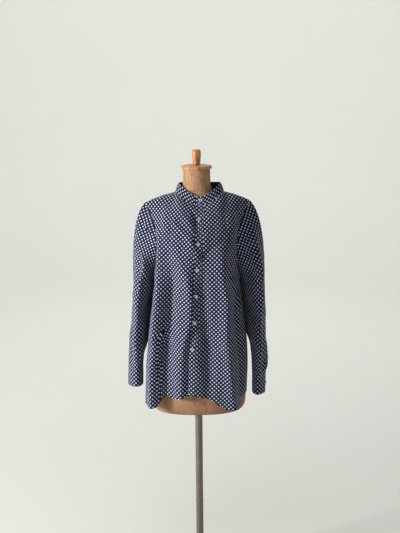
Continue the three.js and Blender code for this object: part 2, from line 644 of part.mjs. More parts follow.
// Collar band: from the under end at the centre front, round the neck, to the end on top
function collarGrid() {
  const lap = plackShare(2);
  const path = [];
  for (let j = -1; j <= NECK_COLUMN * 2; j++) path.push([false, -lerp(-0, NECK_SHARE, j / (NECK_COLUMN * 2))]);
  path[0] = [false, lap];
  for (let j = NECK_COLUMN * 2 - 1; j >= -NECK_COLUMN * 2; j--) path.push([true, (-j / (NECK_COLUMN * 2)) * NECK_SHARE]);
  for (let j = NECK_COLUMN * 2 - 1; j >= 0; j--) path.push([false, (j / (NECK_COLUMN * 2)) * NECK_SHARE]);
  path.push([false, -lap]);
  const count = path.length;
  return [0, 0.34, 0.68, 1].map((share) =>
    path.map(([back, sigma], k) => {
      const under = k < 4 ? -(COLLAR_WALL + SEAM_GAP) * 1.1 * (k < 3 ? 1 : 0.45) : 0;
      const edge = topEdge(back, sigma);
      const turn = (Math.abs(sigma) / NECK_SHARE) * QUARTER;
      const away = V(edge.x - NECK_CENTRE.x, (edge.y - NECK_CENTRE.y) * 1.4, 0).normalize();
      const slant = back ? Math.PI - turn : turn; // 0 centre front, PI centre back
      const { front, side, back: rear } = COLLAR_RISE;
      const rise = lerp(lerp(front, side, smooth(slant, 0.1, 1.3)), rear, smooth(slant, 1.7, 2.9));
      const inwards = lerp(-7, -11, Math.sin(slant)) * (back ? lerp(0.35, 1, Math.sin(turn)) : 1);
      const seam = bodyOut(back, sigma, 2).multiplyScalar(CLOTH / 2 + SEAM_GAP + 0.2);
      const atEnd = Math.min(k, count - 1 - k);
      const corner = share > 0.9 && atEnd === 0 ? 5 : 0; // rounded upper corners
      return edge
        .add(seam)
        .addScaledVector(away, share * inwards + under)
        .add(V(0, 0, share * rise - corner));
    }),
  );
}

// Button as a turned disc with a raised rim
function buttonGeometry(radius) {
  const t = BUTTON.thick;
  const profile = [
    [0, 0],
    [radius * 0.8, 0],
    [radius, t * 0.45],
    [radius * 0.9, t],
    [radius * 0.62, t * 0.72],
    [0, t * 0.66],
  ].map(([r, z]) => new THREE.Vector2(r, z));
  return turned(profile, 16);
}

// Lathe round +Z from a profile of radius and height that starts and ends on the axis
function turned(profile, segments) {
  const rings = profile.slice(1, -1).map((p) =>
    Array.from({ length: segments }, (_, j) => {
      const a = (j / segments) * Math.PI * 2;
      return V(p.x * Math.cos(a), p.x * Math.sin(a), p.y);
    }),
  );
  const g = loft(rings);
  const position = g.attributes.position;
  const count = position.count;
  position.setZ(count - 2, profile[0].y);
  position.setZ(count - 1, profile[profile.length - 1].y);
  g.computeVertexNormals();
  return g;
}

const part = new THREE.Group();
part.name = "mandarin_collar_shirt_on_dress_form";

function add(name, geometry, finish) {
  const [color, roughness, metalness] = FINISH[finish];
  const mesh = new THREE.Mesh(geometry, new THREE.MeshStandardMaterial({ color, roughness, metalness }));
  mesh.name = name;
  part.add(mesh);
  return mesh;
}

function addButton(name, place, out, radius) {
  const mesh = add(name, buttonGeometry(radius), "pearl");
  mesh.quaternion.setFromUnitVectors(V(0, 0, 1), out.clone().normalize());
  mesh.position.copy(place);
}

// Shirt: panels
add("front_right", sheet(frontGrid(-1), CLOTH), "cloth");
add("front_left", sheet(frontGrid(1), CLOTH), "cloth");
add("back", sheet(backGrid(), CLOTH), "cloth");
add("front_placket", sheet(placketGrid(), CLOTH), "cloth");
const collar = collarGrid();
add("collar_band", sheet(collar, COLLAR_WALL), "cloth");

// Shirt: sleeves, with wearer's right at -X
for (const [side, name] of [[-1, "right"], [1, "left"]]) {
  add("sleeve_" + name, sheet(sleeveGrid(side), CLOTH, true), "cloth");
  add("sleeve_placket_" + name, sheet(gauntletGrid(side), CLOTH), "cloth");
  add("cuff_" + name, sheet(cuffGrid(side), CUFF_WALL), "cloth");
  const turn = around360(GAUNTLET.turn[side]);
  const cuffZ = CUFF_TOP[side] - CUFF.height * 0.46;
  const cuffAt = cuffPoint(side, cuffZ, turn, CUFF_WALL * 1.5 + SEAM_GAP * 2 + 0.3);
  addButton("cuff_button_" + name, cuffAt, cuffAt.clone().sub(cuffPoint(side, cuffZ, turn, 0)), BUTTON.radius);
  const slitZ = CUFF_TOP[side] + 3 + GAUNTLET.height * 0.5;
  const slitAt = sleevePoint(side, slitZ, turn, LAP_RISE + GAUNTLET.clear + CLOTH / 2 + SEAM_GAP + 0.3);
  addButton("sleeve_button_" + name, slitAt, slitAt.clone().sub(sleevePoint(side, slitZ, turn, 0)), BUTTON.small);
}

// Shirt: buttons down the front, and one on the collar's overlap
BUTTON_HEIGHTS.forEach((z, i) => {
  const hem = read(HEM_FRONT, "at", "z", 0);
  const w = z < CHEST_Z ? (z - hem) / (CHEST_Z - hem) : 1 + (z - CHEST_Z) / (NECK_FRONT.z - CHEST_Z);
  const out = bodyOut(false, 0, w);
  addButton("front_button_" + (i + 1), bodyPoint(false, 0, w, LAP_RISE + CLOTH / 2 + SEAM_GAP + 0.2), out, BUTTON.radius);
});
{
  const last = collar[0].length - 2;
  const [low, high] = [collar[1][last], collar[2][last]];
  const across = collar[1][last + 1].clone().sub(collar[1][last - 1]);
  const out = across.cross(high.clone().sub(low)).normalize();
  if (out.y > 0) out.negate();
  const place = low.clone().lerp(high, 0.5).addScaledVector(out, COLLAR_WALL / 2 + SEAM_GAP + 0.3);
  addButton("collar_button", place, out, BUTTON.radius);
}

// Dress form: body, wooden disc and knob
const FORM_TURNS = 48;
const formRings = FORM.map((row) =>
  Array.from({ length: FORM_TURNS }, (_, j) => {
    const share = (j / FORM_TURNS) * 4;
    const quarter = Math.floor(share);
    const front = quarter === 0 || quarter === 3;
    const p = quarterSection(
      row.half,
      front ? row.front : row.back,
      row.power,
      quarter % 2 ? 1 - (share - quarter) : share - quarter,
    );
    return V(quarter < 2 ? p.x : -p.x, front ? -p.y : p.y, row.z);
  }),
);
add("form_body", loft(formRings), "covering");
const discProfile = [
  [0, 0],
  [DISC.radius - 3, 0],
  [DISC.radius, 3],
  [DISC.radius, DISC.thick - 3],
  [DISC.radius - 3, DISC.thick],
  [20, DISC.thick + 4.5],
  [0, DISC.thick + 5],
].map(([r, z]) => new THREE.Vector2(r, DISC.z + z));
add("neck_disc", turned(discProfile, 48), "wood");
const knobHeight = KNOB.top - KNOB.z;
const knobProfile = [
  [0, 0],
  [13, 0],
  [13.5, knobHeight * 0.1],
  [KNOB.radius * 0.9, knobHeight * 0.3],
  [KNOB.radius, knobHeight * 0.55],
  [KNOB.radius * 0.98, knobHeight * 0.8],
  [KNOB.radius * 0.86, knobHeight * 0.93],
  [KNOB.radius * 0.55, knobHeight * 0.99],
  [0, knobHeight],
].map(([r, z]) => new THREE.Vector2(r, KNOB.z + z));
add("neck_knob", turned(knobProfile, 32), "wood");

// Stand: pole and round base
const poleProfile = [
  [0, BASE.middle + SEAM_GAP],
  [POLE.radius, BASE.middle + SEAM_GAP],
  [POLE.radius, POLE.ringZ - 3],
  [POLE.radius + 0.8, POLE.ringZ - 2.4],
  [POLE.radius + 0.8, POLE.ringZ + 2.4],
  [POLE.radius, POLE.ringZ + 3],
  [POLE.radius, FORM_FLOOR - SEAM_GAP],
  [0, FORM_FLOOR - SEAM_GAP],
].map(([r, z]) => new THREE.Vector2(r, z));
add("pole", turned(poleProfile, 32), "steel");
const baseProfile = [
  [0, 0],
  [BASE.radius - 2, 0],
  [BASE.radius, 2],
  [BASE.radius, BASE.edge - 3],
  [BASE.radius - 4, BASE.edge],
  [40, BASE.middle],
  [0, BASE.middle],
].map(([r, z]) => new THREE.Vector2(r, z));
add("base", turned(baseProfile, 64), "iron");

export default part;
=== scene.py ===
"""Mandarin collar shirt hanging on a limbless dress form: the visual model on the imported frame.

Lengths in the tables are millimetres, as in the part's drawing; every mesh is made in metres.
"""

import json
import logging
import math
from dataclasses import dataclass, field
from enum import Enum
from typing import Any, Callable, Iterable, Sequence

import bpy
import numpy as np
from mathutils import Euler, Matrix, Vector

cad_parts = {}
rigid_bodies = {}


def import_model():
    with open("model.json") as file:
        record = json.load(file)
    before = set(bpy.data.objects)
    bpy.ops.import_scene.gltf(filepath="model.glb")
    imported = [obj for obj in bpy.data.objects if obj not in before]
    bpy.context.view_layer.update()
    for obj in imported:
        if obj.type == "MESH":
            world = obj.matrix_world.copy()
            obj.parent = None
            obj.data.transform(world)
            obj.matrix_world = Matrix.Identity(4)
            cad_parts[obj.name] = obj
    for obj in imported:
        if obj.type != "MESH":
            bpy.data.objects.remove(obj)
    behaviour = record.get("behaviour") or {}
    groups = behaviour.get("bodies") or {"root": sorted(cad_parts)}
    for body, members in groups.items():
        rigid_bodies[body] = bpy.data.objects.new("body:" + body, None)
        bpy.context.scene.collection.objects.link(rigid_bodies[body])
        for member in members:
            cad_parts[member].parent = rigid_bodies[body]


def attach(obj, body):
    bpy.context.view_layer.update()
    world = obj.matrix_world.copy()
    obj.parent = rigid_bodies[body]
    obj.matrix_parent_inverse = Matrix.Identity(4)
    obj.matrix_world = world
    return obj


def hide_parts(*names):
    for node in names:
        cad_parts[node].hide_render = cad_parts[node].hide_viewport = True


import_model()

LOG = logging.getLogger("shirt_on_form")
MM = 0.001
QUARTER = math.pi / 2
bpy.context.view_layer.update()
Array = np.ndarray


class Side(Enum):
    """Side of the shirt by the viewer's axis; the wearer's right is at -X."""

    RIGHT = -1
    LEFT = 1

    @property
    def label(self) -> str:
        """Name of the side as the nodes spell it."""
        return self.name.lower()


class Face(Enum):
    """Front or back half of the shirt's body."""

    FRONT = 0
    BACK = 1


def smooth(x: Array | float, low: float | Array, high: float | Array) -> Array:
    """Smooth step from 0 at low to 1 at high."""
    t = np.clip((np.asarray(x, float) - low) / (np.asarray(high) - low), 0, 1)
    return t * t * (3 - 2 * t)


def mix(a: Any, b: Any, t: Any) -> Any:
    """Value between a and b by share t."""
    return a + (b - a) * t


def unit(v: Array) -> Array:
    """Vectors scaled to length one."""
    return v / np.maximum(np.linalg.norm(v, axis=-1, keepdims=True), 1e-12)


class Curve:
    """Smooth curve without overshoot through the rows of a table."""

    def __init__(self, keys: Sequence[float], values: Sequence[float]) -> None:
        """Keep the rows and work out the slopes.

        Args:
            keys: Rising keys of the rows.
            values: The value of each row.
        """
        self.keys = np.asarray(keys, float)
        self.values = np.asarray(values, float)
        rise = np.diff(self.values) / np.diff(self.keys)
        before, after = rise[:-1], rise[1:]
        same = before * after > 0
        total = np.where(same, before + after, 1)
        inner = np.where(same, 2 * before * after / total, 0)
        self.slopes = np.concatenate([[rise[0]], inner, [rise[-1]]])

    def __call__(self, at: Array | float) -> Array:
        """Values of the curve at the keys given."""
        k = np.clip(at, self.keys[0], self.keys[-1])
        i = np.clip(np.searchsorted(self.keys, k, "left") - 1, 0, len(self.keys) - 2)
        span = self.keys[i + 1] - self.keys[i]
        t = (k - self.keys[i]) / span
        t2, t3 = t * t, t * t * t
        return (
            (2 * t3 - 3 * t2 + 1) * self.values[i]
            + (t3 - 2 * t2 + t) * span * self.slopes[i]
            + (3 * t2 - 2 * t3) * self.values[i + 1]
            + (t3 - t2) * span * self.slopes[i + 1]
        )


def table(keys: str, rows: Sequence[Sequence[float]]) -> dict[str, Curve]:
    """Curves of a table whose first column is its key.

    Args:
        keys: Names of the columns, with the key first.
        rows: The rows, rising by key.

    Returns:
        One curve for each column after the first.
    """
    names = keys.split()
    columns = list(zip(*rows))
    return {n: Curve(columns[0], c) for n, c in zip(names[1:], columns[1:])}


def quarter_section(a: Array, b: Array, power: Array | float, share: Array, steps: int = 60) -> tuple[Array, Array]:
    """Quarter of a superellipse by share of its length.

    Args:
        a: Reach along X.
        b: Reach along Y.
        power: Power of the superellipse.
        share: 0 on the Y axis to 1 on the X axis.
        steps: Chords that stand for the quarter.

    Returns:
        X and Y of each point.
    """
    a, b, power, share = np.broadcast_arrays(*(np.asarray(v, float) for v in (a, b, power, share)))
    phi = np.linspace(0, QUARTER, steps + 1)
    e = 2 / power[..., None]
    x = a[..., None] * np.sin(phi) ** e
    y = b[..., None] * np.cos(phi) ** e
    length = np.concatenate([np.zeros(a.shape + (1,)), np.cumsum(np.hypot(np.diff(x), np.diff(y)), -1)], -1)
    want = np.clip(share, 0, 1) * length[..., -1]
    i = np.clip((length < want[..., None]).sum(-1), 1, steps)[..., None]
    get = lambda v, k: np.take_along_axis(v, k, -1)[..., 0]
    low, high = get(length, i - 1), get(length, i)
    t = (want - low) / np.maximum(high - low, 1e-9)
    return mix(get(x, i - 1), get(x, i), t), mix(get(y, i - 1), get(y, i), t)


def section_length(a: Array, b: Array, power: float, steps: int = 60) -> Array:
    """Length of a quarter of a superellipse."""
    phi = np.linspace(0, QUARTER, steps + 1)
    x = np.asarray(a)[..., None] * np.sin(phi) ** (2 / power)
    y = np.asarray(b)[..., None] * np.cos(phi) ** (2 / power)
    return np.hypot(np.diff(x), np.diff(y)).sum(-1)


def unevenness(x: Array, y: Array, seed: int) -> Array:
    """Smooth seeded noise from -1 to 1 over the plane, with features about one unit wide."""
    lattice = np.random.default_rng(seed).uniform(-1, 1, (64, 64))
    xi, yi = np.floor(x).astype(int), np.floor(y).astype(int)
    fx, fy = x - xi, y - yi
    fx, fy = fx * fx * (3 - 2 * fx), fy * fy * (3 - 2 * fy)
    at = lambda i, j: lattice[(xi + i) % 64, (yi + j) % 64]
    return mix(mix(at(0, 0), at(1, 0), fx), mix(at(0, 1), at(1, 1), fx), fy)


@dataclass(frozen=True)
class Fold:
    """A soft ridge (height above 0) or trough (below 0) along a line on the cloth."""

    s0: float
    z0: float
    h0: float
    s1: float
    z1: float
    h1: float
    width: float


@dataclass(frozen=True)
class Crease:
    """A long ridge or trough that wanders up the cloth: rows of height, place across and push."""

    rows: tuple[tuple[float, float, float], ...]
    before: float
    after: float

    def push(self, s: Array, z: Array) -> Array:
        """Push in millimetres at each place; before and after are its two widths."""
        line = table("z s h", self.rows)
        away = s - line["s"](z) - 2.5 * unevenness(z / 60.0, 0 * z + self.before, 15)
        width = np.where(away < 0, self.before, self.after)
        low, high = self.rows[0][0], self.rows[-1][0]
        ends = smooth(z, low - 40, low) * (1 - smooth(z, high, high + 30))
        return line["h"](z) * ends * np.exp(-np.abs(away / width) ** 1.8)


def fold_push(folds: Iterable[Fold], s: Array, z: Array, wander: float = 0.0, scale: float = 1.0) -> Array:
    """How far the folds push the cloth out at each place.

    Args:
        folds: The folds of the piece.
        s: Place across the cloth.
        z: Height.
        wander: How far the lines of the folds wander sideways.
        scale: Size of one unit of a fold's s.

    Returns:
        Push in millimetres.
    """
    push = np.zeros(np.broadcast(s, z).shape)
    for k, f in enumerate(folds):
        x0, x1 = f.s0 * scale, f.s1 * scale
        dx, dz = x1 - x0, f.z1 - f.z0
        bent = s + wander * unevenness(z / 95.0 + 7.3 * k, 0 * z + k, 11)
        t = np.clip(((bent - x0) * dx + (z - f.z0) * dz) / (dx * dx + dz * dz), 0, 1)
        away = np.hypot(bent - x0 - t * dx, z - f.z0 - t * dz)
        width = f.width * (1 + 0.22 * unevenness(z / 70.0, 0 * z + 3.1 * k, 12)) if wander else f.width
        push += mix(f.h0, f.h1, t) * np.exp(-((away / width) ** 2))
    return push


def flatten(grid: Array, guess: Array, skip: tuple[int, int] = (2, 3), rounds: int = 700) -> Array:
    """Lay a curved panel flat with the least stretch, as a pattern cutter does.

    Args:
        grid: Points of the panel.
        guess: First guess of the flat places, which keeps the grain's direction.
        skip: Rows and columns from one worked point to the next.
        rounds: Rounds of easing the lengths.

    Returns:
        Flat places of all points.
    """
    keep = [np.unique(np.append(np.arange(0, n, k), n - 1)) for n, k in zip(grid.shape[:2], skip)]
    cut = np.ix_(*keep)
    solid, flat = grid[cut], guess[cut].astype(float)
    start = flat.copy()
    ties = []
    for a, b in (
        ((slice(None), slice(None, -1)), (slice(None), slice(1, None))),
        ((slice(None, -1), slice(None)), (slice(1, None), slice(None))),
        ((slice(None, -1), slice(None, -1)), (slice(1, None), slice(1, None))),
        ((slice(None, -1), slice(1, None)), (slice(1, None), slice(None, -1))),
    ):
        ties.append((a, b, np.linalg.norm(solid[b] - solid[a], axis=-1)))
    for _ in range(rounds):
        for a, b, length in ties:
            step = flat[b] - flat[a]
            now = np.maximum(np.linalg.norm(step, axis=-1), 1e-6)
            pull = step * (0.24 * (1 - length / now))[..., None]
            flat[a] += pull
            flat[b] -= pull
    moved = flat - start
    moved -= moved.mean((0, 1))
    rows, cols = np.arange(grid.shape[0]), np.arange(grid.shape[1])
    across = np.stack([np.stack([np.interp(cols, keep[1], line[:, k]) for k in (0, 1)], -1) for line in moved])
    full = np.stack([np.stack([np.interp(rows, keep[0], across[:, j, k]) for k in (0, 1)], -1) for j in cols], 1)
    return guess + full


@dataclass
class Sheet:
    """One piece of cloth: a grid of points of its middle surface, and the print's place on it."""

    grid: Array
    print_at: Array
    around: bool = False

    def normals(self) -> Array:
        """Unit normals of the grid."""
        g = self.grid
        if self.around:
            across = np.roll(g, -1, 1) - np.roll(g, 1, 1)
        else:
            across = np.gradient(g, axis=1)
        return unit(np.cross(across, np.gradient(g, axis=0)))

    def moved(self, out: Array | float) -> "Sheet":
        """The same sheet moved along its normals."""
        step = np.asarray(out)[..., None] if np.ndim(out) else out
        return Sheet(self.grid + self.normals() * step, self.print_at, self.around)

    def cut(self) -> tuple[tuple[float, float], float]:
        """Width and length of the flat cut, and its area, in metres."""
        p = self.print_at * MM
        size = np.ptp(p.reshape(-1, 2), axis=0)
        d1, d2 = p[1:, 1:] - p[:-1, :-1], p[1:, :-1] - p[:-1, 1:]
        area = float(np.abs(d1[..., 0] * d2[..., 1] - d1[..., 1] * d2[..., 0]).sum() / 2)
        return (round(float(size[0]), 3), round(float(size[1]), 3)), min(area, float(size[0] * size[1]))

    def build(self, name: str, wall: Array | float, outer: "Finish", inner: "Finish", inner_extra: Array | float = 0.0) -> bpy.types.Object:
        """Make the closed mesh of the sheet.

        Args:
            name: Name of the object.
            wall: Thickness of the cloth.
            outer: Finish of the side that the normals point to.
            inner: Finish of the other side and of the edges.
            inner_extra: More thickness on the inner side, as at a turned hem.

        Returns:
            The object.
        """
        rows, cols = self.grid.shape[:2]
        n = self.normals()
        half = np.broadcast_to(np.asarray(wall, float) / 2, (rows, cols))[..., None]
        extra = np.broadcast_to(np.asarray(inner_extra, float), (rows, cols))[..., None]
        places = np.concatenate([(self.grid + n * half).reshape(-1, 3), (self.grid - n * (half + extra)).reshape(-1, 3)])
        last = cols if self.around else cols - 1
        i, j = np.meshgrid(np.arange(rows - 1), np.arange(last), indexing="ij")
        at = lambda side, r, c: side * rows * cols + r * cols + c % cols
        top = [np.stack([at(0, i, j), at(0, i, j + 1), at(0, i + 1, j + 1), at(0, i + 1, j)], -1).reshape(-1, 4)]
        bottom = [np.stack([at(1, i, j), at(1, i + 1, j), at(1, i + 1, j + 1), at(1, i, j + 1)], -1).reshape(-1, 4)]
        turn = lambda r, c: np.stack([c, r], -1)
        place_top = [np.stack([turn(i, j), turn(i, j + 1), turn(i + 1, j + 1), turn(i + 1, j)], -2).reshape(-1, 4, 2)]
        place_bottom = [np.stack([turn(i, j), turn(i + 1, j), turn(i + 1, j + 1), turn(i, j + 1)], -2).reshape(-1, 4, 2)]
        rim, place_rim = [], []
        c = np.arange(last)
        for r, sides in ((0, (1, 0)), (rows - 1, (0, 1))):
            rr = np.full_like(c, r)
            rim.append(np.stack([at(sides[0], rr, c), at(sides[0], rr, c + 1), at(sides[1], rr, c + 1), at(sides[1], rr, c)], -1))
            place_rim.append(np.stack([turn(rr, c), turn(rr, c + 1), turn(rr, c + 1), turn(rr, c)], -2))
        if not self.around:
            r = np.arange(rows - 1)
            for c0, sides in ((0, (1, 0)), (cols - 1, (0, 1))):
                cc = np.full_like(r, c0)
                rim.append(np.stack([at(sides[0], r, cc), at(sides[1], r, cc), at(sides[1], r + 1, cc), at(sides[0], r + 1, cc)], -1))
                place_rim.append(np.stack([turn(r, cc), turn(r, cc), turn(r + 1, cc), turn(r + 1, cc)], -2))
        faces = np.concatenate(top + bottom + rim)
        corners = np.concatenate(place_top + place_bottom + place_rim).reshape(-1, 2)
        uv = self.print_at[corners[:, 1], corners[:, 0]]
        count = len(top[0])
        slots = np.concatenate([np.zeros(count, int), np.ones(len(faces) - count, int)])
        return mesh_object(name, places, faces, [outer, inner], slots, uv)


def mesh_object(
    name: str,
    places: Array,
    faces: Array | list,
    finishes: Sequence["Finish"],
    slots: Array | None = None,
    uv: Array | None = None,
    sharp: float = 50.0,
) -> bpy.types.Object:
    """Make a mesh object that rides on the frame.

    Args:
        name: Name of the object.
        places: Points in millimetres.
        faces: Point indices of each face.
        finishes: Finishes by material slot.
        slots: Material slot of each face.
        uv: Print place in millimetres of each face corner.
        sharp: Angle in degrees above which an edge is sharp.

    Returns:
        The object.
    """
    mesh = bpy.data.meshes.new(name)
    mesh.from_pydata((np.asarray(places) * MM).tolist(), [], [list(map(int, f)) for f in faces])
    if uv is not None:
        layer = mesh.uv_layers.new(name="print")
        layer.data.foreach_set("uv", (np.asarray(uv) * MM).astype(np.float32).ravel())
    for finish in finishes:
        mesh.materials.append(finish.material())
    if slots is not None:
        mesh.polygons.foreach_set("material_index", np.asarray(slots, np.int32))
    mesh.polygons.foreach_set("use_smooth", np.ones(len(mesh.polygons), bool))
    mesh.set_sharp_from_angle(angle=math.radians(sharp))
    mesh.validate()
    mesh.update()
    turn_out(mesh)
    obj = bpy.data.objects.new(name, mesh)
    bpy.context.scene.collection.objects.link(obj)
    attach(obj, "root")
    return obj


def turn_out(mesh: bpy.types.Mesh) -> None:
    """Turn a closed mesh so that its faces look outwards."""
    mesh.calc_loop_triangles()
    tri = np.empty(len(mesh.loop_triangles) * 3, np.int32)
    mesh.loop_triangles.foreach_get("vertices", tri)
    co = np.empty(len(mesh.vertices) * 3, np.float32)
    mesh.vertices.foreach_get("co", co)
    a, b, c = np.moveaxis(co.reshape(-1, 3).astype(float)[tri.reshape(-1, 3)], 1, 0)
    if np.einsum("ij,ij->i", a, np.cross(b, c)).sum() < 0:
        mesh.flip_normals()


# Shader maths


class Socket:
    """A shader value that takes part in Python expressions."""

    def __init__(self, graph: "Graph", link: bpy.types.NodeSocket) -> None:
        """Wrap one output socket of a graph."""
        self.graph = graph
        self.link = link

    def __add__(self, other: "Number") -> "Socket":
        """Sum."""
        return self.graph.maths("ADD", self, other)

    def __radd__(self, other: "Number") -> "Socket":
        """Sum with the number first."""
        return self.graph.maths("ADD", other, self)

    def __sub__(self, other: "Number") -> "Socket":
        """Difference."""
        return self.graph.maths("SUBTRACT", self, other)

    def __rsub__(self, other: "Number") -> "Socket":
        """Difference with the number first."""
        return self.graph.maths("SUBTRACT", other, self)

    def __mul__(self, other: "Number") -> "Socket":
        """Product."""
        return self.graph.maths("MULTIPLY", self, other)

    def __rmul__(self, other: "Number") -> "Socket":
        """Product with the number first."""
        return self.graph.maths("MULTIPLY", other, self)

    def __truediv__(self, other: "Number") -> "Socket":
        """Quotient."""
        return self.graph.maths("DIVIDE", self, other)

    def __rtruediv__(self, other: "Number") -> "Socket":
        """Quotient with the number first."""
        return self.graph.maths("DIVIDE", other, self)

    def __pow__(self, other: "Number") -> "Socket":
        """Power."""
        return self.graph.maths("POWER", self, other)

    def least(self, other: "Number") -> "Socket":
        """The smaller of two values."""
        return self.graph.maths("MINIMUM", self, other)

    def most(self, other: "Number") -> "Socket":
        """The larger of two values."""
        return self.graph.maths("MAXIMUM", self, other)

    def wave(self) -> "Socket":
        """Sine of the value."""
        return self.graph.maths("SINE", self)

    def step(self, low: float, high: float) -> "Socket":
        """Smooth step of the value from 0 at low to 1 at high."""
        node = self.graph.node(
            "ShaderNodeMapRange",
            {"interpolation_type": "SMOOTHSTEP", "clamp": True},
            {"Value": self, "From Min": low, "From Max": high, "To Min": 0.0, "To Max": 1.0},
        )
        return Socket(self.graph, node.outputs["Result"])


Number = Socket | float | int
Colour = tuple[float, float, float]


def srgb(r: float, g: float, b: float) -> Colour:
    """Linear colour of an 8-bit screen colour."""
    one = lambda c: c / 12.92 if c <= 0.04045 else ((c + 0.055) / 1.055) ** 2.4
    return one(r / 255), one(g / 255), one(b / 255)


class Graph:
    """The node graph of one material."""

    def __init__(self, name: str) -> None:
        """Start an empty material with its output node."""
        self.material = bpy.data.materials.new(name)
        self.material.use_nodes = True
        self.tree = self.material.node_tree
        self.tree.nodes.clear()
        self.output = self.tree.nodes.new("ShaderNodeOutputMaterial")

    def node(self, kind: str, settings: dict[str, Any] | None = None, inputs: dict[Any, Any] | None = None) -> bpy.types.Node:
        """Add a node.

        Args:
            kind: Type of the node.
            settings: Its settings, set first; "stops" are a ramp's places and colours.
            inputs: Values or links of its sockets by name or number.

        Returns:
            The node.
        """
        node = self.tree.nodes.new(kind)
        for key, value in (settings or {}).items():
            if key == "stops":
                ramp = node.color_ramp
                while len(ramp.elements) < len(value):
                    ramp.elements.new(0.5)
                for element, (place, colour) in zip(ramp.elements, value):
                    element.position = place
                    element.color = (*colour, 1.0)
            else:
                setattr(node, key, value)
        for key, value in (inputs or {}).items():
            socket = node.inputs[key]
            if isinstance(value, Socket):
                self.tree.links.new(value.link, socket)
            elif isinstance(value, bpy.types.NodeSocket):
                self.tree.links.new(value, socket)
            elif isinstance(value, tuple) and len(value) == 3 and socket.type == "RGBA":
                socket.default_value = (*value, 1.0)
            else:
                socket.default_value = value
        return node

    def out(self, name: str | int, kind: str, settings: dict[str, Any] | None = None, inputs: dict[Any, Any] | None = None) -> Socket:
        """Add a node and give one of its outputs."""
        return Socket(self, self.node(kind, settings, inputs).outputs[name])

    def maths(self, operation: str, *values: Number) -> Socket:
        """One Math node on values."""
        return self.out("Value", "ShaderNodeMath", {"operation": operation}, dict(enumerate(values)))

    def mix(self, share: Number, a: Socket | Colour, b: Socket | Colour, way: str = "MIX") -> Socket:
        """Mix two colours by a share."""
        return self.out(2, "ShaderNodeMix", {"data_type": "RGBA", "blend_type": way}, {0: share, 6: a, 7: b})

    def vector(self, operation: str, *values: Any) -> Socket:
        """One Vector Math node."""
        return self.out("Vector", "ShaderNodeVectorMath", {"operation": operation}, dict(enumerate(values)))

    def scaled(self, where: Socket, scale: Sequence[float]) -> Socket:
        """Coordinates stretched along each axis."""
        return self.vector("MULTIPLY", where, tuple(scale))

    def noise(self, where: Socket, scale: float, detail: float = 2.0, rough: float = 0.5, bend: float = 0.0) -> Socket:
        """Noise from 0 to 1."""
        inputs = {"Vector": where, "Scale": scale, "Detail": detail, "Roughness": rough, "Distortion": bend}
        return self.out(0, "ShaderNodeTexNoise", {}, inputs)

    def surface(self, **inputs: Any) -> bpy.types.Material:
        """Finish the material with one Principled shader.

        Args:
            **inputs: Values or links by socket name, with _ for a space.

        Returns:
            The material.
        """
        named = {key.replace("_", " "): value for key, value in inputs.items()}
        shader = self.node("ShaderNodeBsdfPrincipled", {}, named)
        self.tree.links.new(shader.outputs[0], self.output.inputs["Surface"])
        return self.material

    def bump(self, height: Socket, strength: float, distance: float) -> Socket:
        """Normal of a height in metres times distance."""
        return self.out("Normal", "ShaderNodeBump", {}, {"Height": height, "Strength": strength, "Distance": distance})

    def spot(self) -> Socket:
        """Object coordinates in metres."""
        return self.out("Object", "ShaderNodeTexCoord")

    def print_place(self) -> Socket:
        """Place on the cloth in metres."""
        return self.out("UV", "ShaderNodeTexCoord")

    def parts(self, where: Socket) -> tuple[Socket, Socket, Socket]:
        """The three numbers of a vector."""
        node = self.node("ShaderNodeSeparateXYZ", {}, {0: where})
        return Socket(self, node.outputs[0]), Socket(self, node.outputs[1]), Socket(self, node.outputs[2])


class Finish:
    """A finish that builds its material once."""

    made: dict[str, bpy.types.Material] = {}

    def material(self) -> bpy.types.Material:
        """The material of the finish."""
        key = repr(self)
        if key not in Finish.made:
            Finish.made[key] = self.make()
        return Finish.made[key]

    def make(self) -> bpy.types.Material:
        """Build the material."""
        raise NotImplementedError


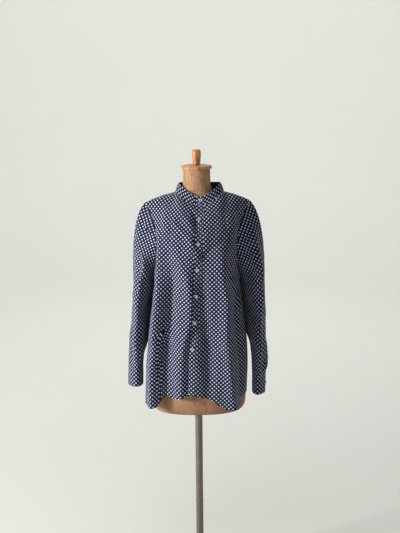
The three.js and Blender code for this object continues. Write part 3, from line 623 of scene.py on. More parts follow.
@dataclass(frozen=True)
class DottedCotton(Finish):
    """Plain-weave navy cotton with small off-white dots in a quincunx."""

    name: str = "navy_dotted_cotton"
    ground: Colour = srgb(13, 16, 44)
    dot: Colour = srgb(216, 222, 250)
    pitch: float = 0.0148
    dot_radius: float = 0.0024
    dot_strength: float = 1.0
    thread: float = 0.00042

    def make(self) -> bpy.types.Material:
        """Build the printed weave."""
        g = Graph(self.name)
        place = g.print_place()
        u, v, _ = g.parts(place)
        drift = (g.noise(place, 70.0, 1.0) - 0.5) * 0.0009
        drift2 = (g.noise(g.vector("ADD", place, (0.31, 0.17, 0.0)), 80.0, 1.0) - 0.5) * 0.0009
        near = None
        for shift in (0.0, 0.5):
            du = g.maths("PINGPONG", (u + drift) + shift * self.pitch, self.pitch / 2)
            dv = g.maths("PINGPONG", (v + drift2) + shift * self.pitch, self.pitch / 2)
            away = g.maths("SQRT", du * du + dv * dv)
            near = away if near is None else near.least(away)
        rag = (g.noise(place, 1100.0, 2.0) - 0.5) * 0.0009
        mask = 1 - (near + rag).step(self.dot_radius - 0.0006, self.dot_radius + 0.0006)
        warp = g.maths("SINE", u * (2 * math.pi / self.thread))
        weft = g.maths("SINE", v * (2 * math.pi / self.thread))
        weave = warp * weft
        slub = g.noise(g.scaled(place, (1.0, 0.12, 1.0)), 900.0, 2.0)
        fade = g.noise(place, 6.0, 3.0)
        ground = g.mix(fade, tuple(c * 0.8 for c in self.ground), tuple(c * 1.25 for c in self.ground))
        ground = g.mix(slub * 0.35, ground, tuple(c * 2.2 for c in self.ground))
        dot = g.mix(slub * 0.5, self.dot, tuple(c * 0.8 for c in self.dot))
        colour = g.mix(mask * self.dot_strength, ground, dot)
        height = weave * 0.5 + slub * 0.6 + mask * 0.25
        return g.surface(
            Base_Color=colour,
            Roughness=0.86,
            Specular_IOR_Level=0.25,
            Sheen_Weight=0.12,
            Sheen_Roughness=0.5,
            Normal=g.bump(height, 0.35, 0.00012),
        )


@dataclass(frozen=True)
class SewingThread(Finish):
    """Twisted navy sewing thread."""

    name: str = "navy_thread"
    colour: Colour = srgb(44, 48, 78)

    def make(self) -> bpy.types.Material:
        """Build the twist."""
        g = Graph(self.name)
        twist = g.noise(g.spot(), 3500.0, 2.0)
        colour = g.mix(twist, tuple(c * 0.7 for c in self.colour), tuple(c * 1.5 for c in self.colour))
        return g.surface(Base_Color=colour, Roughness=0.7, Normal=g.bump(twist, 0.3, 0.0001))


@dataclass(frozen=True)
class PearlButton(Finish):
    """Grey-white shell button with a soft gloss."""

    name: str = "pearl_button"
    light: Colour = srgb(214, 217, 224)
    dark: Colour = srgb(150, 155, 166)

    def make(self) -> bpy.types.Material:
        """Build the shell's clouding."""
        g = Graph(self.name)
        spot = g.spot()
        cloud = g.noise(spot, 260.0, 4.0, 0.6, 1.5)
        streak = g.noise(g.scaled(spot, (1.0, 1.0, 5.0)), 420.0, 2.0)
        colour = g.mix(cloud.step(0.35, 0.7), self.light, self.dark)
        rough = 0.18 + cloud * 0.2
        return g.surface(Base_Color=colour, Roughness=rough, Coat_Weight=0.3, Coat_Roughness=0.15, Normal=g.bump(streak, 0.15, 0.0002))


@dataclass(frozen=True)
class WornCovering(Finish):
    """Tan covering of the form, worn, stained and finely cracked."""

    name: str = "worn_tan_covering"
    light: Colour = srgb(205, 160, 124)
    middle: Colour = srgb(178, 132, 98)
    dark: Colour = srgb(118, 80, 56)
    # Strength of the painted shade that darkens the lower body towards the bottom.
    low_shade: float = 0.5

    def make(self) -> bpy.types.Material:
        """Build stains, cracks, grain and a painted shade that darkens the lower body towards the bottom."""
        g = Graph(self.name)
        spot = g.spot()
        cloud = g.noise(spot, 7.0, 5.0, 0.6)
        patch = g.noise(g.scaled(spot, (1.0, 1.0, 0.45)), 26.0, 4.0, 0.65, 0.6)
        grain = g.noise(spot, 900.0, 3.0, 0.6)
        shake = g.out(1, "ShaderNodeTexNoise", {}, {"Vector": spot, "Scale": 30.0})
        bent = g.vector("ADD", spot, g.scaled(shake, (0.014, 0.014, 0.014)))
        cell = {"feature": "DISTANCE_TO_EDGE"}
        coarse = g.out("Distance", "ShaderNodeTexVoronoi", cell, {"Vector": g.scaled(bent, (1.0, 1.0, 0.4)), "Scale": 60.0})
        fine = g.out("Distance", "ShaderNodeTexVoronoi", cell, {"Vector": bent, "Scale": 230.0})
        neck = g.parts(spot)[2].step(1.33, 1.42)
        crack = (1 - coarse.step(0.0, 0.045)) * (patch + neck * 0.16).step(0.42, 0.6)
        craze = (1 - fine.step(0.0, 0.05)) * patch.step(0.3, 0.7)
        colour = g.mix(cloud.step(0.3, 0.7), self.middle, self.light)
        colour = g.mix(patch.step(0.5, 0.72) * 0.45, colour, self.dark)
        colour = g.mix(crack * 0.75 + craze * 0.25, colour, self.dark)
        # Painted shade: the covering's colour darkens towards the bottom of the form.
        low_shade = 1 - g.parts(spot)[2].step(0.62, 0.86)
        colour = g.mix(low_shade * self.low_shade, colour, self.dark)
        height = grain * 0.25 - crack * 0.8 - craze * 0.35 + patch * 0.6
        rough = 0.5 + patch * 0.3
        return g.surface(Base_Color=colour, Roughness=rough, Specular_IOR_Level=0.4, Normal=g.bump(height, 0.5, 0.0012))


@dataclass(frozen=True)
class TurnedWood(Finish):
    """Waxed light brown wood, with the grain along the turning axis."""

    name: str = "turned_wood"
    light: Colour = srgb(224, 160, 104)
    dark: Colour = srgb(160, 98, 52)

    def make(self) -> bpy.types.Material:
        """Build the grain."""
        g = Graph(self.name)
        spot = g.spot()
        long_grain = g.scaled(spot, (1.0, 1.0, 0.09))
        rings = g.noise(long_grain, 95.0, 4.0, 0.55, 0.8)
        pores = g.noise(long_grain, 900.0, 2.0, 0.6)
        turning = g.noise(g.scaled(spot, (0.1, 0.1, 1.0)), 700.0, 2.0)
        colour = g.mix(rings.step(0.36, 0.66), self.light, self.dark)
        colour = g.mix(pores.step(0.58, 0.72) * 0.45, colour, tuple(c * 0.55 for c in self.dark))
        rough = 0.34 + pores * 0.25
        height = pores * 0.5 + turning * 0.5
        return g.surface(Base_Color=colour, Roughness=rough, Coat_Weight=0.25, Coat_Roughness=0.3, Normal=g.bump(height, 0.25, 0.0003))


@dataclass(frozen=True)
class DullMetal(Finish):
    """Dull grey metal with handling marks."""

    name: str
    colour: Colour
    roughness: float = 0.38
    metallic: float = 0.9
    cast: float = 0.0

    def make(self) -> bpy.types.Material:
        """Build the drawn or cast surface."""
        g = Graph(self.name)
        spot = g.spot()
        drawn = g.noise(g.scaled(spot, (1.0, 1.0, 0.02)), 1600.0, 2.0)
        marks = g.noise(spot, 38.0, 4.0, 0.65)
        pits = g.noise(spot, 700.0, 3.0)
        colour = g.mix(marks, tuple(c * 0.75 for c in self.colour), tuple(min(1.0, c * 1.25) for c in self.colour))
        rough = self.roughness + marks * 0.18
        height = drawn * (1 - self.cast) * 0.4 + pits * self.cast
        return g.surface(Base_Color=colour, Roughness=rough, Metallic=self.metallic, Normal=g.bump(height, 0.3, 0.0003))


@dataclass(frozen=True)
class StudioPaint(Finish):
    """Matt pale paint of floor and wall."""

    name: str = "pale_studio_paint"
    colour: Colour = srgb(231, 231, 224)

    def make(self) -> bpy.types.Material:
        """Build the faint unevenness of the paint."""
        g = Graph(self.name)
        cloud = g.noise(g.spot(), 1.3, 3.0)
        colour = g.mix(cloud, tuple(c * 0.97 for c in self.colour), self.colour)
        return g.surface(Base_Color=colour, Roughness=0.9)


COTTON = DottedCotton()
COTTON_INSIDE = DottedCotton(name="navy_cotton_inside", ground=srgb(30, 33, 56), dot=srgb(110, 116, 142), dot_strength=0.55)
THREAD = SewingThread()
PEARL = PearlButton()
COVERING = WornCovering()
WOOD = TurnedWood()
STEEL = DullMetal("dull_pole_steel", srgb(128, 122, 112))
IRON = DullMetal("cast_base_iron", srgb(74, 72, 70), 0.5, 0.75, 1.0)
PAINT = StudioPaint()


@dataclass
class Stitching:
    """Rows of machine stitches, as small spindles of thread along lines on the cloth."""

    pitch: float = 3.1
    length: float = 2.3
    radius: float = 0.24
    sides: int = 5
    places: list[Array] = field(default_factory=list)
    faces: list[Array] = field(default_factory=list)
    count: int = 0

    def row(self, line: Array, normals: Array, out: float = 0.0) -> None:
        """Sew along a line.

        Args:
            line: Points of the line.
            normals: Normals of the cloth at the points.
            out: How far the thread lies above the line.
        """
        along = np.concatenate([[0], np.cumsum(np.linalg.norm(np.diff(line, axis=0), axis=1))])
        if along[-1] < self.pitch * 1.5:
            return
        middles = np.arange(self.pitch / 2, along[-1], self.pitch)
        at = lambda s, v: np.stack([np.interp(s, along, v[:, k]) for k in range(3)], -1)
        centre, normal = at(middles, line), unit(at(middles, normals))
        run = unit(at(middles + 0.5, line) - at(middles - 0.5, line))
        across = unit(np.cross(normal, run))
        centre = centre + normal * out
        turn = np.linspace(0, 2 * math.pi, self.sides, endpoint=False)
        ring = centre[:, None] + self.radius * (
            np.cos(turn)[None, :, None] * across[:, None] + np.sin(turn)[None, :, None] * normal[:, None]
        )
        dip = normal * self.radius * 1.2
        ends = np.stack([centre - run * self.length / 2 - dip, centre + run * self.length / 2 - dip], 1)
        block = np.concatenate([ring, ends], 1)
        n, size = len(middles), self.sides + 2
        base = self.count + np.arange(n)[:, None] * size
        k = np.arange(self.sides)
        nxt = (k + 1) % self.sides
        first = np.stack([np.broadcast_to(self.sides, k.shape), nxt, k], -1)
        second = np.stack([np.broadcast_to(self.sides + 1, k.shape), k, nxt], -1)
        tri = np.concatenate([first, second])
        self.places.append(block.reshape(-1, 3))
        self.faces.append((base[:, :, None] + tri[None]).reshape(-1, 3))
        self.count += n * size

    def build(self, name: str) -> bpy.types.Object:
        """Make one mesh of all the rows."""
        obj = mesh_object(name, np.concatenate(self.places), np.concatenate(self.faces), [THREAD], sharp=180)
        return obj


FORM_SECTION = table(
    "z half front back power",
    (
        (615, 138, 82, 80, 2.3),
        (618, 150, 92, 90, 2.3),
        (626, 160, 99, 97, 2.3),
        (640, 167, 104, 102, 2.3),
        (660, 170, 107, 105, 2.3),
        (710, 171, 110, 108, 2.3),
        (760, 167, 111, 108, 2.3),
        (820, 158, 109, 104, 2.3),
        (880, 142, 105, 96, 2.3),
        (930, 128, 100, 88, 2.3),
        (980, 121, 99, 82, 2.3),
        (1040, 128, 108, 84, 2.3),
        (1100, 133, 122, 92, 2.3),
        (1150, 136, 130, 98, 2.3),
        (1200, 134, 124, 96, 2.3),
        (1250, 134, 110, 88, 2.25),
        (1290, 138, 92, 78, 2.2),
        (1325, 140, 70, 64, 2.1),
        (1350, 136, 52, 52, 2),
        (1368, 132, 42, 47, 2),
        (1384, 109.5, 39, 45, 2),
        (1395, 77, 33.5, 41, 2),
        (1402, 60, 33, 39, 2),
        (1412, 54, 35.5, 40, 2),
        (1425, 49, 38, 41, 2),
        (1450, 48, 42, 43, 2),
        (1483, 47.5, 44, 45, 2),
    ),
)


def off_the_form(grid: Array, gap: float) -> Array:
    """Points moved outwards where they come nearer to the form than the gap."""
    row = {k: c(grid[..., 2]) for k, c in FORM_SECTION.items()}
    reach = np.where(grid[..., 1] < 0, row["front"], row["back"]) + gap
    size = (np.abs(grid[..., 0]) / (row["half"] + gap)) ** row["power"] + (np.abs(grid[..., 1]) / reach) ** row["power"]
    grow = np.maximum(1.0, np.maximum(size, 1e-6) ** (-1 / row["power"]))
    grow = np.where((size > 0.35) & (grid[..., 2] < 1384), grow, 1.0)
    moved = grid.copy()
    moved[..., :2] *= grow[..., None]
    return moved


def settled(grid: Array, share: Array, rounds: int) -> Array:
    """Grid eased towards its neighbours' mean where share is above 0, as cloth settles."""
    g = grid.copy()
    for _ in range(rounds):
        mean = (g[:-2, 1:-1] + g[2:, 1:-1] + g[1:-1, :-2] + g[1:-1, 2:]) / 4
        g[1:-1, 1:-1] += (mean - g[1:-1, 1:-1]) * share[1:-1, 1:-1, None] * 0.9
    return g


@dataclass
class ShirtBody:
    """Fronts, back and placket of the shirt as one smooth surface that is cut into panels."""

    chest_z: float = 1130.0
    section_power: float = 2.5
    neck_centre: tuple[float, float] = (10.0, 4.0)
    neck_half: float = 83.0
    neck_reach: dict[Face, float] = field(default_factory=lambda: {Face.FRONT: 56.0, Face.BACK: 52.0})
    neck_z: dict[Face, float] = field(default_factory=lambda: {Face.FRONT: 1365.0, Face.BACK: 1401.0})
    neck_side_z: float = 1402.0
    tips: dict[int, tuple[float, float, float]] = field(
        default_factory=lambda: {-1: (-180.0, 0.0, 1366.0), 1: (184.0, 0.0, 1371.0)}
    )
    full_neck: dict[Face, float] = field(default_factory=lambda: {Face.FRONT: 1.75, Face.BACK: 2.0})
    full_tip: float = 2.7
    placket_width: float = 25.0
    armhole_depth: float = 0.25
    wall: float = 0.7
    layer: float = 1.6
    section: dict[str, Curve] = field(
        default_factory=lambda: table(
            "z half front back shift",
            (
                (620, 181, 139, 127, -8),
                (690, 180, 141, 125, -7),
                (776, 179, 143, 120, -3),
                (887, 172, 146, 113, 0),
                (950, 165, 148, 110, 0),
                (1010, 158, 150, 109, 0),
                (1050, 152, 151, 110, 0),
                (1090, 145, 151, 111.5, 0),
                (1130, 141, 149, 112, 0),
            ),
        )
    )
    centre_front: Curve = field(
        default_factory=lambda: table(
            "z x",
            ((690, -26), (776, -23), (873, -20), (969, -12), (1061, -6), (1151, -1), (1238, 1), (1318, 4), (1365, 10)),
        )["x"]
    )
    hems: dict[Face, Curve] = field(
        default_factory=lambda: {
            Face.FRONT: table(
                "at z",
                (
                    (-1, 672), (-0.94, 662), (-0.86, 657), (-0.74, 655), (-0.64, 653), (-0.56, 653), (-0.51, 658), (-0.475, 680), (-0.445, 694),
                    (-0.41, 698), (-0.32, 690), (-0.2, 691), (-0.12, 697), (-0.04, 703), (0.04, 703), (0.12, 695),
                    (0.2, 690), (0.28, 675), (0.37, 658), (0.45, 647), (0.54, 645), (0.61, 652), (0.68, 670),
                    (0.8, 681), (1, 682),
                ),
            )["z"],
            Face.BACK: table(
                "at z",
                ((-1, 672), (-0.7, 654), (-0.2, 661), (0.1, 655), (0.45, 664), (0.75, 656), (1, 682)),
            )["z"],
        }
    )
    creases: dict[Face, tuple[Crease, ...]] = field(
        default_factory=lambda: {
            Face.FRONT: (
                Crease(((640, -160, 27), (713, -156, 29), (786, -151, 30), (876, -144, 31), (966, -137, 31), (1037, -132, 29), (1108, -133, 25), (1177, -140, 19), (1245, -150, 14), (1310, -180, 4)), 42, 15),
                Crease(((640, -115, -18), (786, -114, -23), (876, -111, -26), (966, -105, -27), (1037, -101, -26), (1108, -101, -20), (1177, -104, -10), (1250, -116, -1)), 18, 42),
                Crease(((640, -50, 7), (713, -48, 8), (786, -52, 8), (876, -42, 7), (966, -18, 7), (1037, -15, 7), (1108, -30, 7), (1177, -56, 5), (1240, -80, 1)), 22, 15),
                Crease(((690, -12, -5), (786, -12, -7), (876, -12, -7), (940, 2, -4)), 15, 17),
                Crease(((640, 58, -10), (786, 52, -13), (876, 46, -14), (966, 34, -14), (1037, 26, -13), (1108, 22, -10), (1184, 28, -5), (1250, 36, 0)), 22, 24),
                Crease(((640, 148, 21), (713, 130, 23), (786, 119, 24), (876, 106, 24), (966, 97, 23), (1037, 97, 21), (1108, 86, 16), (1177, 78, 10), (1245, 76, 2)), 18, 24),
                Crease(((1120, -112, 1), (1180, -116, 8), (1245, -126, 12), (1310, -138, 11), (1350, -146, 4)), 27, 52),
                Crease(((1120, 116, 1), (1180, 122, 9), (1245, 130, 14), (1310, 142, 12), (1350, 150, 4)), 52, 27),
                Crease(((640, 208, -12), (780, 180, -14), (900, 160, -14), (1000, 152, -11), (1060, 156, -5)), 17, 26),
                Crease(((640, -222, 7), (900, -216, 5), (1040, -205, 1)), 16, 20),
                Crease(((1030, 236, 1), (1110, 205, 6), (1150, 172, 8), (1190, 150, 5), (1230, 140, 0)), 12, 7),
                Crease(((960, 190, 0), (1040, 168, 6), (1090, 140, 7), (1130, 116, 6), (1170, 98, 0)), 10, 7),
                Crease(((1310, -4, -5), (1340, -20, -6), (1366, -42, -3)), 10, 5),
                Crease(((1270, -10, 3), (1310, -34, 6), (1350, -66, 2)), 13, 9),
                Crease(((1190, 4, 4), (1251, -23, 6), (1314, -91, 3)), 17, 9),
                Crease(((1160, -4, -4), (1201, 20, -6), (1250, 87, -3)), 12, 12),
            ),
            Face.BACK: (
                Crease(((640, -196, 16), (800, -184, 17), (950, -160, 14), (1080, -140, 7), (1180, -132, 1)), 26, 15),
                Crease(((640, -126, -14), (820, -122, -17), (980, -104, -14), (1120, -86, -6), (1220, -78, 0)), 18, 22),
                Crease(((640, -52, 16), (800, -60, 17), (960, -46, 14), (1090, -44, 8), (1200, -50, 1)), 16, 24),
                Crease(((640, 14, -12), (800, 4, -15), (960, 12, -13), (1080, 4, -6), (1190, 0, 0)), 18, 16),
                Crease(((640, 76, 16), (820, 70, 18), (980, 54, 14), (1100, 56, 8), (1210, 66, 1)), 26, 14),
                Crease(((640, 142, -14), (820, 136, -16), (980, 118, -12), (1080, 112, -5)), 17, 22),
                Crease(((640, 210, 11), (820, 198, 12), (960, 172, 9), (1060, 160, 3)), 18, 22),
                Crease(((1060, -170, 4), (1180, -128, 6), (1290, -74, 4), (1340, -60, 0)), 12, 16),
                Crease(((1060, 168, 4), (1170, 124, 6), (1290, 80, 4), (1340, 66, 0)), 16, 12),
            ),
        }
    )
    small_folds: dict[Face, tuple[Fold, ...]] = field(
        default_factory=lambda: {
            Face.FRONT: (
                Fold(-100, 700, 2.0, -112, 960, 1.2, 8),
                Fold(-52, 720, -1.8, -48, 900, -1.0, 8),
                Fold(66, 700, -2.0, 40, 940, -1.2, 10),
                Fold(98, 680, 1.8, 76, 860, 1.0, 8),
                Fold(168, 690, 2.4, 128, 900, 1.6, 9),
                Fold(-186, 700, -3.0, -192, 940, -2.0, 10),
                Fold(196, 1000, -2.2, 128, 1140, -1.4, 8),
                Fold(176, 960, 1.6, 118, 1060, 1.0, 8),
                Fold(-184, 1060, 1.8, -140, 1170, 1.2, 9),
                Fold(-150, 1240, -2.0, -152, 1180, -1.0, 9),
                Fold(-120, 1210, 1.2, -60, 1120, 0.6, 12),
                Fold(-40, 1335, -1.0, -14, 1250, -0.6, 9),
                Fold(34, 1330, 0.9, 20, 1240, 0.5, 9),
            ),
            Face.BACK: (
                Fold(-150, 690, 2.0, -130, 900, 1.2, 9),
                Fold(-84, 690, 2.2, -70, 960, 1.0, 9),
                Fold(40, 700, -2.0, 30, 900, -1.2, 9),
                Fold(104, 690, 2.4, 90, 950, 1.4, 9),
                Fold(172, 700, -2.4, 150, 900, -1.4, 9),
                Fold(-150, 1080, 2.2, -96, 1180, 1.4, 10),
                Fold(150, 1070, 2.2, 100, 1170, 1.4, 10),
                Fold(-40, 1200, -1.2, -30, 1330, -0.8, 14),
                Fold(52, 1200, 1.2, 40, 1330, 0.8, 14),
            ),
        }
    )

    def lap(self, w: Array | float) -> Array:
        """Share of the half panel that the placket's half width takes."""
        return self.placket_width / 2 / self.panel_length(w)

    def panel_length(self, w: Array | float) -> Array:
        """Length across one half panel at level w."""
        w = np.asarray(w, float)
        return np.where(w < 1, mix(285.0, 235.0, w), mix(235.0, 250.0, w - 1))

    def neck_share(self) -> float:
        """Share of a half panel's top edge that is neckline."""
        return float(mix(self.lap(2), 1.0, 5 / 12))

    def armhole_share(self, w: Array | float) -> Array:
        """Share of a panel's width where the armhole runs at level w."""
        t = np.clip(np.asarray(w, float) - 1, 0, 1)
        turn = 0.35
        low = np.sqrt(np.maximum(0, 1 - (1 - np.minimum(t / turn, 1)) ** 2))
        high = np.maximum(0, np.cos(np.clip((t - turn) / (1 - turn), 0, 1) * QUARTER)) ** 1.3
        return np.where(t <= 0, 1.0, 1 - self.armhole_depth * np.where(t < turn, low, high))

    def top_edge(self, face: Face, sigma: Array) -> Array:
        """Neckline and shoulder line."""
        side = np.where(sigma < 0, -1.0, 1.0)
        share = np.abs(sigma)
        neck = self.neck_share()
        turn = np.clip(share / neck, 0, 1) * QUARTER
        cx, cy = self.neck_centre
        sign = 1 if face is Face.BACK else -1
        arc = np.stack(
            [
                cx + side * self.neck_half * np.sin(turn),
                cy + sign * self.neck_reach[face] * np.cos(turn),
                mix(self.neck_z[face], self.neck_side_z, np.sin(turn) ** 1.6),
            ],
            -1,
        )
        t = np.clip((share - neck) / (1 - neck), 0, 1)
        tip = np.where((side < 0)[..., None], self.tips[-1], self.tips[1])
        start = np.stack([cx + side * self.neck_half, cy + 0 * side, self.neck_side_z + 0 * side], -1)
        line = mix(start, tip, t[..., None])
        line[..., 2] += 3 * np.sin(math.pi * t)
        return np.where((share <= neck)[..., None], arc, line)

    def base(self, face: Face, sigma: Array, w: Array) -> Array:
        """The body without folds: sigma -1 to 1 between the side seams, w 0 hem, 1 chest, 2 top."""
        sigma, w = np.broadcast_arrays(np.asarray(sigma, float), np.asarray(w, float))
        side = np.where(sigma < 0, -1.0, 1.0)
        share = np.abs(sigma)
        z = np.where(w < 1, mix(self.hems[face](sigma), self.chest_z, np.minimum(w, 1)), self.chest_z)
        reach = self.section["back" if face is Face.BACK else "front"](z)
        x, y = quarter_section(self.section["half"](z), reach, self.section_power, share)
        shift = self.section["shift"](z)
        drift = shift if face is Face.BACK else mix(shift, self.centre_front(z), (1 - share) ** 2)
        chest = np.stack([side * x + drift, (1 if face is Face.BACK else -1) * y, z], -1)
        s = np.clip(w - 1, 0, 1)
        top = self.top_edge(face, sigma)
        neck = self.neck_share()
        round_ = smooth(share, 0, neck * 1.15)
        full = mix(self.full_neck[face], self.full_tip, smooth(share, neck, 0.95))
        plain = s ** (2.6 if face is Face.BACK else 2.0)
        lean = mix(plain, 1 - (1 - s**full) ** (1 / full), round_)
        upper = np.stack(
            [mix(chest[..., 0], top[..., 0], s), mix(chest[..., 1], top[..., 1], lean), mix(chest[..., 2], top[..., 2], s)], -1
        )
        return np.where((w <= 1)[..., None], chest, upper)

    def outward(self, face: Face, sigma: Array, w: Array) -> Array:
        """Outward direction of the body without folds."""
        sigma, w = np.broadcast_arrays(np.asarray(sigma, float), np.asarray(w, float))
        e = 0.004
        s = np.clip(sigma, -1 + e, 1 - e)
        across = self.base(face, s + e, w) - self.base(face, s - e, w)
        up = self.base(face, sigma, np.minimum(w + e, 2)) - self.base(face, sigma, np.maximum(w - e, 0))
        out = unit(np.cross(across, up))
        return -out if face is Face.BACK else out

    def points(self, face: Face, sigma: Array, w: Array, out: Array | float = 0.0, fine: bool = True) -> Array:
        """The body's middle surface with its folds, moved out.

        Args:
            face: Front or back.
            sigma: Place across.
            w: Level.
            out: Distance to move out.
            fine: Add the small folds and the unevenness of worn cloth.

        Returns:
            Points.
        """
        sigma, w = np.broadcast_arrays(np.asarray(sigma, float), np.asarray(w, float))
        return self.base(face, sigma, w) + self.outward(face, sigma, w) * (self.push(face, sigma, w, fine) + np.asarray(out, float))[..., None]

    def push(self, face: Face, sigma: Array, w: Array, fine: bool = True) -> Array:
        """How far the folds push the body out at each place."""
        s = sigma * self.panel_length(w)
        z = self.base(face, sigma, w)[..., 2]
        top = 1 - smooth(w, 1.75, 2)
        ease = smooth(1 - np.abs(sigma), 0, 0.07) * top
        push = sum(crease.push(s, z) for crease in self.creases[face]) * ease
        if fine:
            seed = 21 if face is Face.FRONT else 41
            arm = smooth(self.armhole_share(w) - np.abs(sigma), 0.0, 0.1)
            push += fold_push(self.small_folds[face], s, z, 4.0) * ease * arm
            skirt = 1 - smooth(z, 900, 1150)
            long_waves = unevenness(s / 30.0, z / 170.0, seed) * mix(1.0, 2.4, skirt)
            dents = unevenness(s / 19.0 + 5, z / 36.0, seed + 1) * 0.7
            push += (long_waves + dents) * ease * arm
            hem = 1 - smooth(z - self.hems[face](sigma), 0, 14)
            push += hem * unevenness(s / 9.0, 0 * z, seed + 2) * 0.6 * ease
        return push

    def print_at(self, face: Face, sigma: Array, w: Array) -> Array:
        """Place of each point on the flat cloth: across from the centre line, and up from the chest.

        Args:
            face: Front or back.
            sigma: Place across, one row per level.
            w: Level, the same along a row.

        Returns:
            Across and up, in millimetres.
        """
        rows, cols = sigma.shape
        z = np.where(w < 1, mix(self.hems[face](sigma), self.chest_z, np.minimum(w, 1)), self.chest_z)
        reach = self.section["back" if face is Face.BACK else "front"](z)
        across = sigma * section_length(self.section["half"](z), reach, self.section_power)
        up = z - self.chest_z
        steps = 40
        levels = np.linspace(1, 2, steps + 1)
        shares = np.linspace(-1, 1, 161)
        fan_s, fan_w = np.meshgrid(shares, levels)
        fan = self.base(face, fan_s, fan_w)
        run = np.concatenate([np.zeros((steps + 1, 1)), np.cumsum(np.linalg.norm(np.diff(fan, axis=1), axis=2), 1)], 1)
        run -= run[:, 80:81]
        rise = np.concatenate([np.zeros((1, 161)), np.cumsum(np.linalg.norm(np.diff(fan, axis=0), axis=2), 0)], 0)
        for i in range(rows):
            if w[i, 0] > 1:
                k = (w[i, 0] - 1) * steps
                low = min(int(k), steps - 1)
                t = k - low
                across[i] = np.interp(sigma[i], shares, mix(run[low], run[low + 1], t))
                up[i] = np.interp(sigma[i], shares, mix(rise[low], rise[low + 1], t))
        return np.stack([across, up], -1)

    def levels(self, count: int = 150) -> Array:
        """Levels of the rows, closer near the shoulder and the hem."""
        skirt = np.linspace(0, 1, int(count * 0.58), endpoint=False)
        chest = 1 + np.concatenate([np.linspace(0, 0.86, int(count * 0.28), endpoint=False), np.linspace(0.86, 1, int(count * 0.14)) ** 1.0])
        return np.concatenate([[0.0, 0.008, 0.016], skirt[2:], chest])

    def panel(self, face: Face, low: Callable[[Array], Array], high: Callable[[Array], Array], columns: int, out: Callable[[Array, Array], Array] | float = 0.0, trims: tuple[float, float, float] = (0.3, 0.3, 0.5)) -> Sheet:
        """A panel between two edges.

        Args:
            face: Front or back.
            low: Place of the first edge by level.
            high: Place of the last edge by level.
            columns: Points across.
            out: Distance to move out, or a function of place and level.
            trims: How far the first, last and top edges stay back.

        Returns:
            The sheet.
        """
        w = self.levels()[:, None]
        t = np.linspace(0, 1, columns)[None]
        length = self.panel_length(w)
        sigma = mix(low(w) + trims[0] / length, high(w) - trims[1] / length, t)
        level = np.minimum(np.broadcast_to(w, sigma.shape), 2 - trims[2] / 250)
        away = out(sigma, level) if callable(out) else out
        inside = smooth(np.abs(sigma), 0.09, 0.22) * smooth(self.armhole_share(level) - np.abs(sigma), 0.01, 0.1)
        inside = inside * smooth(level, 1.05, 1.35) * smooth(2 - level, 0.03, 0.25)
        out_of = self.outward(face, sigma, level) * (self.push(face, sigma, level) + away)[..., None]
        grid = off_the_form(settled(self.base(face, sigma, level), inside, 300) + out_of, 1.4)
        return Sheet(grid, flatten(grid, self.print_at(face, sigma, level)))

    def under(self, sigma: Array, w: Array) -> Array:
        """Inward move of the under front below the placket."""
        lap = self.lap(w)
        return -self.layer * 1.0 * (1 - smooth(-sigma, lap * 1.05, lap * 2.5))

    def build(self, sewing: Stitching) -> None:
        """Build fronts, back and placket, and sew them."""
        lap, arm = self.lap, self.armhole_share
        hem_extra = lambda sheet: 0.5 * (1 - smooth(self.level_above_hem(sheet), 8.5, 9.5))
        right = self.panel(Face.FRONT, lambda w: -arm(w), lambda w: lap(w), 110, self.under, (0.4, 0.0, 0.4))
        left = self.panel(Face.FRONT, lambda w: -lap(w), lambda w: arm(w), 110, 0.0, (0.0, 0.4, 0.4))
        back = self.panel(Face.BACK, lambda w: -arm(w), lambda w: arm(w), 200, 0.0, (0.4, 0.4, 0.4))
        back = Sheet(back.grid[:, ::-1], back.print_at[:, ::-1] * np.array([-1.0, 1.0]) + np.array([3.7, 0.0]))
        for name, sheet in {"front_right": right, "front_left": left, "back": back}.items():
            obj = sheet.build(f"{name}_cloth", self.wall, COTTON, COTTON_INSIDE, hem_extra(sheet))
            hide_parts(name)
            flat, area = sheet.cut()
            self.sew(sheet, name, sewing)
        strip = self.panel(Face.FRONT, lambda w: -lap(w), lambda w: lap(w), 15, self.layer * 0.72, (0.05, 0.0, 2.2))
        strip = Sheet(strip.grid, strip.print_at + np.array([1.4, -1.1]))
        obj = strip.build("front_placket_cloth", self.wall, COTTON, COTTON_INSIDE)
        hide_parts("front_placket")
        normals = strip.normals()
        for column in (2, -3):
            sewing.row(strip.grid[2:-2, column], normals[2:-2, column], self.wall / 2 + 0.12)

    def level_above_hem(self, sheet: Sheet) -> Array:
        """Height of each point above the edge of its column."""
        return np.abs(sheet.grid[..., 2] - sheet.grid[:1, :, 2])

    def sew(self, sheet: Sheet, name: str, sewing: Stitching) -> None:
        """Rows of stitches along hem, side, armhole and shoulder."""
        n = sheet.normals()
        out = self.wall / 2 + 0.12
        height = self.level_above_hem(sheet)
        row = int(np.argmax(height.mean(1) > 8))
        sewing.row(sheet.grid[row, 2:-2], n[row, 2:-2], out)
        levels = self.levels()
        chest = int(np.searchsorted(levels, 1.04))
        step = lambda c: sheet.grid[:, c]
        if name != "back":
            outer = 2 if name == "front_right" else -3
            sewing.row(step(outer)[3:chest], n[3:chest, outer], out)
            sewing.row(step(outer)[chest:-3], n[chest:-3, outer], out)
        else:
            for column in (3, -4):
                sewing.row(step(column)[chest:-3], n[chest:-3, column], out)
            half = sheet.grid.shape[1]
            shoulder = slice(3, int(half * 0.29)), slice(int(half * 0.71), half - 3)
            for part in shoulder:
                sewing.row(sheet.grid[-3, part], n[-3, part], out)


